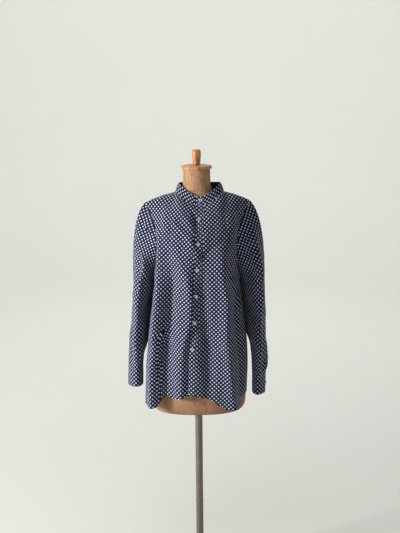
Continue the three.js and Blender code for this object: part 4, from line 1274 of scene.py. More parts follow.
@dataclass
class Sleeve:
    """One sleeve with its placket, cuff and their sizes."""

    side: Side
    body: ShirtBody
    power_outer: float = 1.8
    power_inner: float = 1.45
    full_swing: float = 58.0
    lean: dict[str, float] = field(default_factory=lambda: {"front": 0.42, "cuff": -0.22, "back": -0.22})
    top_z: float = 1080.0
    cuff_height: float = 65.0
    cuff_wall: float = 1.5
    cuff_lap: float = 24.0
    wall: float = 0.7
    placket_height: float = 128.0
    placket_width: float = 24.0
    clear: float = 0.8

    def __post_init__(self) -> None:
        """Read the tables of this side."""
        if self.side is Side.RIGHT:
            rows = (
                (711, 253, 199, 47, 48, 0),
                (776, 250, 198, 48, 49, 0),
                (820, 248, 194, 63, 66, 5),
                (850, 246, 184, 69, 72, 20),
                (887, 244, 173, 72, 78, 40),
                (950, 236, 162.5, 77, 84, 58),
                (1010, 232, 156.5, 80, 84, 58),
                (1080, 226, 144.5, 84, 82, 56),
            )
            self.folds = (
                Fold(135, 1050, 5.5, 78, 1190, 5, 10),
                Fold(76, 1290, -7, 80, 1080, -10, 24),
                Fold(60, 800, -6, 52, 1010, -5, 16),
                Fold(112, 820, 5, 104, 960, 4, 12),
                Fold(250, 800, -4, 240, 1080, -3, 16),
                Fold(300, 930, 3, 280, 1120, 3, 14),
            )
            self.small = (
                Fold(100, 800, -2.6, 92, 930, -1.4, 7),
                Fold(76, 790, 2.2, 80, 900, 1.2, 6),
                Fold(120, 900, 1.8, 88, 1010, 1.4, 7),
                Fold(40, 1040, 1.4, 66, 1150, 1.0, 9),
                Fold(108, 1120, 1.6, 70, 1200, 1.0, 7),
                Fold(34, 1230, -1.4, 20, 1320, -1.2, 10),
                Fold(225, 790, 2.4, 232, 900, 1.2, 7),
                Fold(270, 960, -2.0, 300, 1060, -1.2, 8),
            )
            self.cuff_top, self.slit_turn = 776.0, 318.0
        else:
            rows = (
                (677, 237, 193, 47, 48, 0),
                (742, 239, 193, 48, 49, 0),
                (790, 241, 191, 60, 62, 5),
                (850, 241, 186, 71, 72, 20),
                (887, 240, 174, 74, 78, 40),
                (950, 241, 162, 78, 84, 58),
                (1010, 240, 155, 81, 84, 58),
                (1080, 236, 145, 85, 82, 56),
            )
            self.folds = (
                Fold(64, 1110, 5, 58, 1290, 6, 11),
                Fold(96, 1120, -8, 88, 1290, -6, 20),
                Fold(50, 770, -6, 60, 1000, -5, 16),
                Fold(8, 775, 6, 12, 840, 4, 20),
                Fold(105, 880, 3, 70, 1060, 3, 12),
                Fold(250, 770, -4, 245, 1060, -3, 16),
            )
            self.small = (
                Fold(98, 770, -2.6, 90, 900, -1.4, 7),
                Fold(74, 760, 2.2, 80, 880, 1.2, 6),
                Fold(118, 860, 1.8, 86, 980, 1.4, 7),
                Fold(30, 960, 1.8, 60, 1060, 1.2, 9),
                Fold(100, 1100, 1.6, 66, 1180, 1.0, 7),
                Fold(84, 1190, -1.6, 64, 1290, -1.2, 8),
                Fold(225, 760, 2.4, 232, 880, 1.2, 7),
                Fold(270, 930, -2.0, 300, 1040, -1.2, 8),
            )
            self.cuff_top, self.slit_turn = 742.0, 16.0
        self.rows = table("z outer inner front back swing", rows)
        self.sign = float(self.side.value)

    def ring(self, z: Array, turn: Array) -> Array:
        """Level ring of the sleeve: turn 0 outer, 90 front, 180 inner, 270 back."""
        z, turn = np.broadcast_arrays(np.asarray(z, float), np.mod(np.asarray(turn, float), 360))
        row = {k: c(z) for k, c in self.rows.items()}
        half = (row["outer"] - row["inner"]) / 2
        quarter = np.floor(turn / 90).astype(int) % 4
        share = (turn % 90) / 90
        front = quarter < 2
        reach = np.where(front, row["front"], row["back"])
        is_outer = (quarter == 0) | (quarter == 3)
        power = np.where(is_outer, self.power_outer, mix(self.power_outer, self.power_inner, row["swing"] / self.full_swing))
        px, py = quarter_section(half, reach, power, np.where(quarter % 2 == 1, share, 1 - share))
        x = np.where(is_outer, px, -px)
        swing = np.where(x < 0, row["swing"] * (x / half) ** 2, 0)
        y = np.where(front, -py, py) + swing
        ahead = mix(self.lean["cuff"], self.lean["front"], row["swing"] / self.full_swing)
        lean = half * np.where(front, ahead, self.lean["back"]) * (py / reach) ** 2
        return np.stack([self.sign * ((row["outer"] + row["inner"]) / 2 + x + lean), y, z], -1)

    def loop(self, turn: Array) -> Array:
        """Armhole seam of the sleeve by turn, lapping the panels."""
        turn = np.mod(turn, 360)
        knots = 1 + np.array([0, 0.03, 0.09, 0.17, 0.28, 0.4, 0.53, 0.66, 0.78, 0.88, 0.95, 0.985, 1])
        step = np.linspace(0, 180, len(knots))
        front = turn <= 180
        w = np.where(front, np.interp(turn, step, knots[::-1]), np.interp(turn - 180, step, knots))
        sigma = self.sign * self.body.armhole_share(w)
        rise = self.body.layer + 0.15
        ahead = self.body.points(Face.FRONT, sigma, w, rise)
        behind = self.body.points(Face.BACK, sigma, w, rise)
        return np.where(front[..., None], ahead, behind)

    def cap(self, t: Array, turn: Array) -> Array:
        """Part of the sleeve between the armhole (t = 0) and its top level ring (t = 1)."""
        start = self.loop(turn)
        fine = np.linspace(0, 360, 48, endpoint=False)
        middle = self.loop(fine).mean(0)
        end = self.ring(np.full(turn.shape, self.top_z), turn)
        length = np.linalg.norm(end - start, axis=-1)
        tip = self.body.tips[self.side.value][2]
        height = np.clip((start[..., 2] - self.body.chest_z) / (tip - self.body.chest_z), 0, 1)
        out = np.stack(
            [
                self.sign * mix(0.06, 0.62, height**0.8),
                (start[..., 1] - middle[1]) / 75 * 0.35 * height,
                mix(-1.0, -0.62, height),
            ],
            -1,
        )
        leave = unit(out) * (length * 0.75)[..., None]
        arrive = np.stack([0 * length, 0 * length, -length * mix(0.6, 1.05, height)], -1)
        t = t[..., None]
        t2, t3 = t * t, t * t * t
        return (
            start * (2 * t3 - 3 * t2 + 1) + leave * (t3 - 2 * t2 + t) + end * (3 * t2 - 2 * t3) + arrive * (t3 - t2)
        )

    def sheet(self) -> Sheet:
        """The whole sleeve as a tube."""
        turns = np.linspace(180, 540, 121)
        cap_t = np.concatenate([np.linspace(0, 0.12, 6, endpoint=False), np.linspace(0.12, 1, 44, endpoint=False)])
        level = np.linspace(self.top_z, self.cuff_top + 0.4, 76)
        t, a = np.meshgrid(cap_t, turns, indexing="ij")
        zz, b = np.meshgrid(level, turns, indexing="ij")
        grid = np.concatenate([self.cap(t, a), self.ring(zz, b)])
        turn = np.concatenate([a, b])
        middle = self.ring(np.full(turns.shape, self.top_z), turns)
        run = np.concatenate([[0], np.cumsum(np.linalg.norm(np.diff(middle, axis=0), axis=1))])
        guess = np.stack(np.broadcast_arrays(-self.sign * (run - run[-1] / 2) + 2.1, grid[..., 2] - self.top_z), -1)
        print_at = flatten(grid, guess)
        grid = grid[:, :-1]
        plain = Sheet(grid, print_at, True)
        rows = len(grid)
        i = np.arange(rows)[:, None]
        ease = smooth(i, 0, 14) * smooth(rows - 1 - i, 0, 4)
        degrees = np.mod(turn[:, :-1], 360)
        push = fold_push(self.folds, degrees * 1.05, grid[..., 2], 3.0, 1.05)
        push += fold_push(self.small, degrees * 1.05, grid[..., 2], 3.0, 1.05)
        wrap = np.radians(degrees)
        push += (unevenness(2.6 * np.cos(wrap) + 9, 2.6 * np.sin(wrap) + grid[..., 2] / 60, 61) * 1.1) * (
            0.4 + 0.6 * smooth(np.abs(degrees - 180), 50, 80)
        )
        elbow = np.exp(-(((grid[..., 2] - 985) / 85) ** 2)) + 0.7 * np.exp(-(((grid[..., 2] - 1190) / 70) ** 2))
        slanted = unevenness(np.cos(wrap) * 2.2 + grid[..., 2] / 52, np.sin(wrap) * 3.2 - grid[..., 2] / 85, 63)
        push += elbow * slanted * 3.4
        gathers = np.maximum(0, 1 - (grid[..., 2] - self.cuff_top) / 60) ** 1.5
        push += gathers * 1.2 * np.sin(wrap * 11 + 1.5 * np.sin(wrap * 2)) * smooth(grid[..., 2] - self.cuff_top, 0.5, 10)
        facing = np.sign((plain.normals() * self.outward_hint(grid)).sum(-1))
        return plain.moved(facing * push * ease)

    def outward_hint(self, grid: Array) -> Array:
        """Rough outward direction of a point on the tube."""
        return np.stack([self.sign * (np.abs(grid[..., 0]) - 200), grid[..., 1] * 0.4, 0 * grid[..., 2]], -1)

    def place(self, z: Array, turn: Array, out: Array | float) -> Array:
        """A place on the sleeve's level part, moved out."""
        z, turn = np.broadcast_arrays(np.asarray(z, float), np.asarray(turn, float))
        along = self.ring(z, turn + 1) - self.ring(z, turn - 1)
        up = self.ring(z + 2, turn) - self.ring(z - 2, turn)
        normal = -unit(np.cross(along, up)) * self.sign
        ease = smooth(z, self.cuff_top, self.cuff_top + 40)
        push = fold_push(self.folds, np.mod(turn, 360) * 1.05, z, 3.0, 1.05) * ease
        return self.ring(z, turn) + normal * (push + out)[..., None]

    def cuff_place(self, z: Array, turn: Array, out: Array | float) -> Array:
        """A place on the cuff, moved out."""
        z, turn, out = np.broadcast_arrays(np.asarray(z, float), np.asarray(turn, float), np.asarray(out, float))
        along = self.ring(z, turn + 3) - self.ring(z, turn - 3)
        normal = -unit(np.stack([along[..., 1], -along[..., 0], 0 * z], -1)) * self.sign
        return self.ring(z, turn) + normal * out[..., None]

    def cuff_sheet(self) -> Sheet:
        """The cuff: its outer end laps its inner end on the sleeve's outer side."""
        lap_turn = self.cuff_lap * 1.55
        share, t = np.meshgrid(np.linspace(0, 1, 27), np.linspace(0, 1, 150), indexing="ij")
        turn = self.slit_turn + self.sign * 12 - self.sign * t * (360 + lap_turn)
        climb = smooth(t, 1 - (lap_turn * 1.6) / 400, 1 - lap_turn / 400)
        out = 2.2 * climb + 0.25 * unevenness(t * 30, share * 3, 71)
        grid = self.cuff_place(self.cuff_top - share * self.cuff_height, turn, out)
        run = np.concatenate([[0], np.cumsum(np.linalg.norm(np.diff(grid[13], axis=0), axis=1))])
        print_at = np.stack(np.broadcast_arrays(run[None] + 1.0, -share * self.cuff_height), -1)
        return Sheet(grid, print_at)

    def slit_sheet(self) -> Sheet:
        """The strip of the sleeve placket above the cuff, with a pointed top."""
        share, k = np.meshgrid(np.linspace(0.02, 1, 60), np.linspace(-1, 1, 17), indexing="ij")
        narrow = 1 - smooth(share, 0.93, 1.0) * 0.85
        turn = self.slit_turn + k * narrow * self.placket_width / 2.1
        z = self.cuff_top + 3 + share * self.placket_height
        grid = self.place(z, turn, self.body.layer + self.clear - 0.3)
        return Sheet(grid, np.stack([k * self.placket_width / 2 + 3.0, z - self.top_z + 1.7], -1))

    def build(self, sewing: Stitching) -> None:
        """Build sleeve, strip and cuff, and sew them."""
        name = self.side.label
        tube = self.sheet()
        obj = tube.build(f"sleeve_{name}_cloth", self.wall, COTTON, COTTON_INSIDE) if self.facing_out(tube) else tube.build(
            f"sleeve_{name}_cloth", self.wall, COTTON_INSIDE, COTTON
        )
        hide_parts(f"sleeve_{name}")
        flat, area = tube.cut()
        n = tube.normals() * (1 if self.facing_out(tube) else -1)
        closed = lambda row: np.concatenate([row, row[:1]])
        sewing.row(closed(tube.grid[1]), closed(n[1]), self.wall / 2 + 0.12)
        cuff = self.cuff_sheet()
        self.finish_part(cuff, f"cuff_{name}", self.cuff_wall, sewing)
        slit = self.slit_sheet()
        self.finish_part(slit, f"sleeve_placket_{name}", 0.9, sewing)

    def facing_out(self, sheet: Sheet) -> bool:
        """Whether the sheet's normals point out of the sleeve."""
        return float((sheet.normals() * self.outward_hint(sheet.grid)).sum()) > 0

    def finish_part(self, sheet: Sheet, node: str, wall: float, sewing: Stitching) -> None:
        """Build one small piece of the sleeve with its edge stitching.

        Args:
            sheet: The piece.
            node: The node that it replaces.
            wall: Its thickness.
            sewing: The stitching to add to.
        """
        out = self.facing_out(sheet)
        finishes = (COTTON, COTTON_INSIDE) if out else (COTTON_INSIDE, COTTON)
        obj = sheet.build(f"{node}_cloth", wall, *finishes)
        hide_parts(node)
        n = sheet.normals() * (1 if out else -1)
        lift = wall / 2 + 0.12
        for row in (1, -2):
            sewing.row(sheet.grid[row, 1:-1], n[row, 1:-1], lift)
        for column in (2, -3):
            sewing.row(sheet.grid[1:-1, column], n[1:-1, column], lift)


@dataclass
class CollarBand:
    """Mandarin band round the neck, its left end on top at the centre front."""

    body: ShirtBody
    wall: float = 1.9
    rise_front: float = 25.0
    rise_side: float = 30.0
    rise_back: float = 27.0

    def path(self) -> tuple[Array, Array]:
        """Face and place of each column, from the under end round to the end on top."""
        lap, neck = float(self.body.lap(2)), self.body.neck_share()
        under = np.concatenate([np.linspace(lap, 0, 6, endpoint=False), np.linspace(0, -neck, 40, endpoint=False)])
        rear = np.linspace(-neck, neck, 80, endpoint=False)
        over = np.concatenate([np.linspace(neck, 0, 40, endpoint=False), np.linspace(0, -lap, 7)])
        is_back = np.concatenate([np.zeros(len(under), bool), np.ones(len(rear), bool), np.zeros(len(over), bool)])
        return is_back, np.concatenate([under, rear, over])

    def sheet(self) -> Sheet:
        """The band."""
        is_back, sigma = self.path()
        neck = self.body.neck_share()
        edge = np.where(is_back[:, None], self.body.top_edge(Face.BACK, sigma), self.body.top_edge(Face.FRONT, sigma))
        two = np.full(sigma.shape, 2.0)
        low = np.full(sigma.shape, 1.984)
        front_low, back_low = (self.body.base(f, sigma, low) for f in (Face.FRONT, Face.BACK))
        foot = np.where(is_back[:, None], back_low, front_low)
        out = np.where(
            is_back[:, None], self.body.outward(Face.BACK, sigma, two), self.body.outward(Face.FRONT, sigma, two)
        )
        turn = np.clip(np.abs(sigma) / neck, 0, 1) * QUARTER
        cx, cy = self.body.neck_centre
        away = unit(np.stack([edge[:, 0] - cx, (edge[:, 1] - cy) * 1.4, 0 * sigma], -1))
        slant = np.where(is_back, math.pi - turn, turn)
        rise = mix(mix(self.rise_front, self.rise_side, smooth(slant, 0.1, 1.3)), self.rise_back, smooth(slant, 1.7, 2.9))
        inwards = mix(-7.0, -11.0, np.sin(slant)) * np.where(is_back, mix(0.35, 1.0, np.sin(turn)), 1.0)
        index = np.arange(len(sigma))
        under = -2.45 * (1 - smooth(index, 7, 17))
        seam = edge + out * 1.15
        share = np.linspace(0, 1, 15)[:, None]
        bow = 1.2 * np.sin(share * math.pi)
        grid = seam[None] + away[None] * (share * inwards + under + bow)[..., None]
        grid[..., 2] += share * rise
        skirt = foot + out * 1.75
        skirt = skirt[None] + away[None] * np.where(index < 7, under, 0.0)[None, :, None]
        grid = np.concatenate([skirt, grid])
        run = np.concatenate([[0], np.cumsum(np.linalg.norm(np.diff(seam, axis=0), axis=1))])
        corner = 9.0
        for end, place in ((0, run), (1, run[-1] - run)):
            drop = corner - np.sqrt(np.maximum(0, corner**2 - np.maximum(0, corner - place) ** 2))
            grid[1:, :, 2] -= drop[None] * share**6
        print_at = np.stack(np.broadcast_arrays(run[None] - run[-1] / 2, np.vstack([[-0.14], share]) * 29.0 + 3.0), -1)
        return Sheet(grid, print_at)

    def build(self, sewing: Stitching) -> Sheet:
        """Build the band and sew its edges."""
        sheet = self.sheet()
        obj = sheet.build("collar_band_cloth", self.wall, COTTON, COTTON_INSIDE)
        outward = (sheet.normals() * (sheet.grid - np.array([10, 4, 1400.0]))).sum() > 0
        if not outward:
            obj.data.materials[0], obj.data.materials[1] = COTTON_INSIDE.material(), COTTON.material()
        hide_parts("collar_band")
        n = sheet.normals() * (1 if outward else -1)
        for row in (1, -3):
            sewing.row(sheet.grid[row, 2:-2], n[row, 2:-2], self.wall / 2 + 0.12)
        self.outer = n
        return sheet


@dataclass
class Buttons:
    """Shell buttons with four holes, their thread and their buttonholes."""

    radius: float = 5.7
    small: float = 4.6
    thick: float = 2.4
    heights: tuple[float, ...] = (1318, 1238, 1151, 1061, 969, 873)

    def profile(self, radius: float) -> list[tuple[float, float]]:
        """Radius and height round a button's section."""
        t = self.thick
        return [
            (0.0, 0.0), (radius * 0.72, 0.0), (radius * 0.9, t * 0.14), (radius, t * 0.45), (radius * 0.985, t * 0.72),
            (radius * 0.93, t * 0.93), (radius * 0.85, t), (radius * 0.72, t * 0.94), (radius * 0.6, t * 0.66),
            (radius * 0.5, t * 0.5), (0.0, t * 0.46),
        ]

    def blank(self, radius: float) -> bpy.types.Mesh:
        """One button with its holes drilled."""
        places, faces = lathe(self.profile(radius), 40)
        mesh = bpy.data.meshes.new("button_blank")
        mesh.from_pydata((places * MM).tolist(), [], faces)
        turn_out(mesh)
        disc = bpy.data.objects.new("button_blank", mesh)
        bpy.context.scene.collection.objects.link(disc)
        drills = []
        hole, spread = radius * 0.17, radius * 0.24
        for x in (-spread, spread):
            for y in (-spread, spread):
                pts, fcs = lathe([(0, -2), (hole, -2), (hole, self.thick + 2), (0, self.thick + 2)], 14)
                drill = bpy.data.meshes.new("drill")
                drill.from_pydata(((pts + np.array([x, y, 0])) * MM).tolist(), [], fcs)
                turn_out(drill)
                tool = bpy.data.objects.new("drill", drill)
                bpy.context.scene.collection.objects.link(tool)
                cut = disc.modifiers.new("hole", "BOOLEAN")
                cut.operation, cut.solver, cut.object = "DIFFERENCE", "EXACT", tool
                drills.append(tool)
        seen = disc.evaluated_get(bpy.context.evaluated_depsgraph_get())
        done = bpy.data.meshes.new_from_object(seen)
        for obj in [*drills, disc]:
            bpy.data.objects.remove(obj, do_unlink=True)
        return done

    def place(self, name: str, blank: bpy.types.Mesh, at: Array, out: Array, up: Array, radius: float, hole_up: bool) -> None:
        """Set a button on the cloth with its thread and buttonhole.

        Args:
            name: Node of the button.
            blank: Drilled button.
            at: Point on the cloth's surface.
            out: Outward direction.
            up: Direction along the buttonhole's long side.
            radius: Radius of the button.
            hole_up: Whether the buttonhole runs along up.
        """
        z = Vector(out).normalized()
        x = Vector(up).cross(z).normalized()
        y = z.cross(x)
        turn = Matrix((x, y, z)).transposed().to_4x4()
        where = Matrix.Translation(Vector(at + np.asarray(z) * 0.55) * MM) @ turn
        mesh = blank.copy()
        mesh.transform(where)
        mesh.materials.clear()
        mesh.materials.append(PEARL.material())
        mesh.polygons.foreach_set("use_smooth", np.ones(len(mesh.polygons), bool))
        mesh.set_sharp_from_angle(angle=math.radians(40))
        obj = bpy.data.objects.new(f"{name}_shell", mesh)
        bpy.context.scene.collection.objects.link(obj)
        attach(obj, "root")
        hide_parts(name)
        self.thread(name, where, radius, hole_up)

    def thread(self, name: str, where: Matrix, radius: float, hole_up: bool) -> None:
        """Two bars of thread through the holes, and the worked edge of the buttonhole."""
        sew = Stitching(sides=6)
        spread = radius * 0.24
        lines = []
        for x in (-spread, spread):
            t = np.linspace(-1, 1, 9)
            height = self.thick * 0.46 + 0.5 * (1 - t**4)
            lines.append((np.stack([0 * t + x, t * spread, height], -1), 0.55))
            lines.append((np.stack([0 * t + x + 0.3, t * spread, height - 0.1], -1), 0.3))
        t = np.linspace(0, 2 * math.pi, 49)
        long_side = radius * 1.28
        oval = np.stack([1.0 * np.sign(np.cos(t)) * np.abs(np.cos(t)) ** 0.6, long_side * np.sin(t), 0 * t - 0.42], -1)
        if not hole_up:
            oval = oval[:, [1, 0, 2]]
        lines.append((oval, 0.34))
        places, faces, count = [], [], 0
        for line, r in lines:
            p, f = tube(line, r, 6)
            places.append(p)
            faces.extend([[k + count for k in face] for face in f])
            count += len(p)
        points = np.concatenate(places)
        turned = np.asarray([list(where @ Vector(p * MM)) for p in points]) / MM
        obj = mesh_object(f"{name}_thread", turned, faces, [THREAD], sharp=180)

    def build(self, body: ShirtBody, collar: CollarBand, band: Sheet, sleeves: Sequence[Sleeve]) -> None:
        """Place every button."""
        big, little = self.blank(self.radius), self.blank(self.small)
        hem = float(body.hems[Face.FRONT](0.0))
        for i, z in enumerate(self.heights):
            w = (z - hem) / (body.chest_z - hem) if z < body.chest_z else 1 + (z - body.chest_z) / (body.neck_z[Face.FRONT] - body.chest_z)
            ww = np.array([w])
            zero = np.zeros(1)
            at = body.points(Face.FRONT, zero, ww, body.layer * 0.72 + body.wall / 2)[0]
            out = body.outward(Face.FRONT, zero, ww)[0]
            up = body.base(Face.FRONT, zero, ww + 0.01)[0] - body.base(Face.FRONT, zero, ww)[0]
            self.place(f"front_button_{i + 1}", big, at, out, up, self.radius, True)
        column = band.grid.shape[1] - 8
        low, high = band.grid[7, column], band.grid[9, column]
        out = collar.outer[8, column]
        self.place("collar_button", big, band.grid[8, column] + out * collar.wall / 2, out, high - low, self.radius, False)
        for sleeve in sleeves:
            name, turn = sleeve.side.label, np.array([sleeve.slit_turn])
            z = np.array([sleeve.cuff_top - sleeve.cuff_height * 0.46])
            at = sleeve.cuff_place(z, turn, 2.2 + sleeve.cuff_wall / 2)[0]
            out = at - sleeve.cuff_place(z, turn, 0.0)[0]
            self.place(f"cuff_button_{name}", big, at, out, np.array([0, 0, 1.0]), self.radius, False)
            z = np.array([sleeve.cuff_top + 3 + sleeve.placket_height * 0.5])
            lift = sleeve.body.layer + sleeve.clear - 0.3 + 0.45
            at = sleeve.place(z, turn, lift)[0]
            out = at - sleeve.place(z, turn, 0.0)[0]
            self.place(f"sleeve_button_{name}", little, at, out, np.array([0, 0, 1.0]), self.small, True)


def lathe(profile: Sequence[tuple[float, float]], segments: int) -> tuple[Array, list[list[int]]]:
    """Solid turned round +Z from a profile that starts and ends on the axis."""
    turn = np.linspace(0, 2 * math.pi, segments, endpoint=False)
    rings = [np.stack([r * np.cos(turn), r * np.sin(turn), 0 * turn + z], -1) for r, z in profile[1:-1]]
    return loft(rings, profile[0][1], profile[-1][1])


def loft(rings: Sequence[Array], low: float | None = None, high: float | None = None) -> tuple[Array, list[list[int]]]:
    """Closed solid between rings of points, with a middle point at each end.

    Args:
        rings: Rings from the lowest to the highest.
        low: Height of the first middle point, or the ring's own.
        high: Height of the last middle point, or the ring's own.

    Returns:
        Points and faces.
    """
    cols = len(rings[0])
    places = list(rings)
    faces = []
    for i in range(len(rings) - 1):
        for j in range(cols):
            a, b = i * cols + j, i * cols + (j + 1) % cols
            faces.append([a, b, b + cols, a + cols])
    count = len(rings) * cols
    for k, (ring, height, flip) in enumerate(((0, low, True), (len(rings) - 1, high, False))):
        centre = rings[ring].mean(0)
        if height is not None:
            centre[2] = height
        places.append(centre[None])
        for j in range(cols):
            a, b = ring * cols + j, ring * cols + (j + 1) % cols
            faces.append([count + k, b, a] if flip else [count + k, a, b])
    return np.concatenate(places), faces


def tube(line: Array, radius: float, sides: int) -> tuple[Array, list[list[int]]]:
    """Round thread along a line."""
    run = unit(np.gradient(line, axis=0))
    guide = np.array([0.0, 0.0, 1.0])
    across = unit(np.cross(run, guide) + 1e-9)
    over = np.cross(across, run)
    turn = np.linspace(0, 2 * math.pi, sides, endpoint=False)
    rings = [p + radius * (np.cos(turn)[:, None] * a + np.sin(turn)[:, None] * o) for p, a, o in zip(line, across, over)]
    return loft(rings)


@dataclass
class DressForm:
    """Limbless body of the form with its neck, wooden disc and knob."""

    turns: int = 144
    disc_z: float = 1483.3
    disc_radius: float = 53.8
    disc_thick: float = 10.0
    knob_z: float = 1498.6
    knob_top: float = 1550.0
    knob_radius: float = 16.0
    def body_rings(self) -> list[Array]:
        """Rings of the body from its underside to the neck."""
        heights = np.concatenate([np.linspace(615, 640, 14, endpoint=False), np.linspace(640, 1350, 120, endpoint=False), np.linspace(1350, 1483, 60)])
        share = np.arange(self.turns) / self.turns * 4
        quarter = np.floor(share).astype(int)
        part = share - quarter
        front = (quarter == 0) | (quarter == 3)
        rings = []
        for z in heights:
            row = {k: float(c(z)) for k, c in FORM_SECTION.items()}
            x, y = quarter_section(
                np.full(part.shape, row["half"]),
                np.where(front, row["front"], row["back"]),
                row["power"],
                np.where(quarter % 2 == 1, 1 - part, part),
            )
            ring = np.stack([np.where(quarter < 2, x, -x), np.where(front, -y, y), 0 * x + z], -1)
            wobble = 0.5 * unevenness(share * 3, np.full(share.shape, z / 40), 81) * (1 - smooth(z, 1350, 1380) * 0.7)
            ring[:, :2] *= (1 - (0.6 + wobble[:, None]) / 120)
            rings.append(ring)
        return rings

    def build(self) -> None:
        """Build body, disc and knob."""
        places, faces = loft(self.body_rings())
        obj = mesh_object("form_body_shell", places, faces, [COVERING], sharp=60)
        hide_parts("form_body")
        self.turned("neck_disc", self.disc_profile(), 96)
        self.turned("neck_knob", self.knob_profile(), 72)

    def disc_profile(self) -> list[tuple[float, float]]:
        """Section of the disc, with rounded edges and a low dome."""
        r, t, z = self.disc_radius, self.disc_thick, self.disc_z
        edge = [(r - 3 + 3 * math.sin(a), 3 - 3 * math.cos(a)) for a in np.linspace(0, QUARTER, 6)]
        upper = [(r - 3 + 3 * math.cos(a), t - 3 + 3 * math.sin(a)) for a in np.linspace(0, QUARTER, 6)]
        dome = [(x, t + 4.5 * (1 - ((x - 20) / (r - 23)) ** 1.6)) for x in np.linspace(r - 6, 20, 8)]
        return [(0.0, z)] + [(x, z + h) for x, h in edge + upper + dome] + [(0.0, z + t + 5)]

    def knob_profile(self) -> list[tuple[float, float]]:
        """Section of the turned knob."""
        h, r, z = self.knob_top - self.knob_z, self.knob_radius, self.knob_z
        waist = Curve((0, 0.1, 0.3, 0.55, 0.8, 0.9, 0.95), (13.2, 13.5, r * 0.9, r, r * 0.98, r * 0.9, r * 0.8))
        side = [(float(waist(t)), z + t * h) for t in np.linspace(0, 0.95, 24)]
        cap = [(r * 0.8 * math.cos(a), z + h * (0.95 + 0.05 * math.sin(a))) for a in np.linspace(0.2, 1.4, 7)]
        return [(0.0, z)] + side + cap + [(0.0, z + h)]

    def turned(self, node: str, profile: list[tuple[float, float]], segments: int) -> None:
        """Build one turned wooden piece in place of its node."""
        places, faces = lathe(profile, segments)
        obj = mesh_object(f"{node}_wood", places, faces, [WOOD], sharp=40)
        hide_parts(node)


@dataclass
class Stand:
    """Pole and round base."""

    radius: float = 13.0
    ring_z: float = 258.0
    top: float = 614.7
    base_radius: float = 190.0
    base_edge: float = 9.0
    base_middle: float = 15.0

    def build(self) -> None:
        """Build pole and base."""
        r, q = self.radius, self.ring_z
        low = self.base_middle + 0.3
        pole = [
            (0.0, low), (r, low), (r, q - 3.2), (r + 0.5, q - 2.9), (r + 0.8, q - 2.3), (r + 0.8, q + 2.3),
            (r + 0.5, q + 2.9), (r, q + 3.2), (r, self.top), (0.0, self.top),
        ]
        self.turned("pole", "pole_tube", pole, 64, STEEL, "pole_metal")
        b, e, m = self.base_radius, self.base_edge, self.base_middle
        rim = [(b - 4 + 4 * math.cos(a), e - 4 + 4 * math.sin(a)) for a in np.linspace(0, QUARTER, 7)]
        rise = [(mix(b - 6, 40, t), mix(e, m, t**1.1)) for t in np.linspace(0, 1, 8)[1:]]
        disc = [(0.0, 0.0), (b - 2, 0.0), (b - 0.6, 0.6), (b, 2.0)] + rim + rise + [(0.0, m)]
        self.turned("base", "base_plate", disc, 160, IRON, "base_metal")

    def turned(self, node: str, name: str, profile: list[tuple[float, float]], segments: int, finish: Finish, slot: str) -> None:
        """Build one turned piece in place of its node."""
        places, faces = lathe(profile, segments)
        obj = mesh_object(name, places, faces, [finish], sharp=40)
        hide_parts(node)


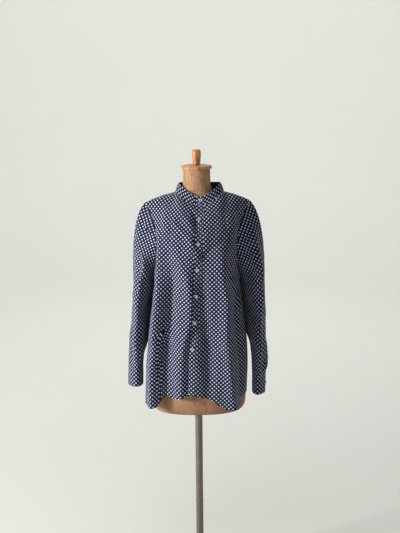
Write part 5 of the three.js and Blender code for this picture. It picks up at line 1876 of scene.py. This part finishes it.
@dataclass
class Studio:
    """Pale floor that rises into a wall, soft light and the camera."""

    camera_at: tuple[float, float, float] = (0.009, -4.1, 1.97)
    tilt: float = 11.5
    roll: float = -0.53
    focal_px: float = 1186.0
    frame_height: int = 533

    def build(self) -> None:
        """Build backdrop, lights, world and camera."""
        self.backdrop()
        self.lamp("window_light", (-4.0, -2.0, 2.0), (0, 0, 1.05), 0.9, 240, (1.0, 0.99, 0.975))
        self.lamp("ceiling_light", (-0.8, -2.6, 5.0), (0, 0, 1.1), 1.6, 24, (0.92, 0.96, 1.0))
        self.lamp("floor_light", (0.0, 2.7, 4.4), (0.0, 2.9, 0.0), 4.0, 96, (0.96, 0.98, 1.0))
        self.lamp("wall_light", (0.0, 3.6, 5.2), (0.0, 7.0, 2.2), 3.0, 92, (0.97, 0.98, 1.0))
        world = bpy.data.worlds.new("studio_world")
        world.use_nodes = True
        background = world.node_tree.nodes["Background"]
        background.inputs["Color"].default_value = (0.93, 0.95, 1.0, 1.0)
        background.inputs["Strength"].default_value = 0.04
        bpy.context.scene.world = world
        bpy.context.scene.view_settings.view_transform = "Standard"
        self.camera()

    def backdrop(self) -> None:
        """Round floor that sweeps up into a wall on every side, well behind each camera."""
        bend, reach, segments = 2.2, 7.2, 96
        turn = np.linspace(0, QUARTER, 13)[1:]
        line = [(0.6, 0.0), (reach - bend, 0.0)]
        line += [(reach - bend + bend * math.sin(a), bend - bend * math.cos(a)) for a in turn] + [(reach, 5.6)]
        around = np.linspace(0, 2 * math.pi, segments, endpoint=False)
        places = [[0.0, 0.0, 0.0]] + [[r * math.cos(a), r * math.sin(a), z] for r, z in line for a in around]
        at = lambda i, j: 1 + i * segments + j % segments
        faces = [[0, at(0, j), at(0, j + 1)] for j in range(segments)]
        faces += [
            [at(i, j), at(i + 1, j), at(i + 1, j + 1), at(i, j + 1)] for i in range(len(line) - 1) for j in range(segments)
        ]
        mesh = bpy.data.meshes.new("backdrop")
        mesh.from_pydata(places, [], faces)
        mesh.materials.append(PAINT.material())
        mesh.polygons.foreach_set("use_smooth", np.ones(len(faces), bool))
        obj = bpy.data.objects.new("backdrop", mesh)
        bpy.context.scene.collection.objects.link(obj)

    def lamp(self, name: str, at: Sequence[float], to: Sequence[float], size: float, power: float, colour: Colour) -> None:
        """Add one soft area light."""
        light = bpy.data.lights.new(name, "AREA")
        light.shape, light.size, light.energy, light.color = "SQUARE", size, power, colour
        obj = bpy.data.objects.new(name, light)
        obj.location = at
        obj.rotation_euler = (Vector(to) - Vector(at)).to_track_quat("-Z", "Y").to_euler()
        bpy.context.scene.collection.objects.link(obj)

    def camera(self) -> None:
        """Set the camera at the photograph's viewing angle."""
        data = bpy.data.cameras.new("camera")
        data.sensor_fit = "VERTICAL"
        data.sensor_height = 36.0
        data.lens = self.focal_px * 36.0 / self.frame_height
        obj = bpy.data.objects.new("camera", data)
        turn = Euler((math.radians(90 - self.tilt), 0, 0)).to_matrix() @ Matrix.Rotation(math.radians(self.roll), 3, "Z")
        obj.matrix_world = Matrix.Translation(self.camera_at) @ turn.to_4x4()
        bpy.context.scene.collection.objects.link(obj)
        bpy.context.scene.camera = obj


def main() -> None:
    """Build the whole model in order."""
    logging.basicConfig(level=logging.INFO, format="%(message)s")
    sewing = Stitching()
    body = ShirtBody()
    body.build(sewing)
    LOG.info("shirt body: fronts, back and placket")
    sleeves = [Sleeve(side, body) for side in Side]
    for sleeve in sleeves:
        sleeve.build(sewing)
        LOG.info("sleeve %s with cuff", sleeve.side.label)
    collar = CollarBand(body)
    band = collar.build(sewing)
    LOG.info("collar band")
    sewing.build("seam_stitches")
    LOG.info("stitches: %d points", sewing.count)
    Buttons().build(body, collar, band, sleeves)
    LOG.info("buttons")
    DressForm().build()
    LOG.info("dress form")
    Stand().build()
    LOG.info("stand")
    Studio().build()
    LOG.info("studio")


if __name__ == "__main__":
    main()
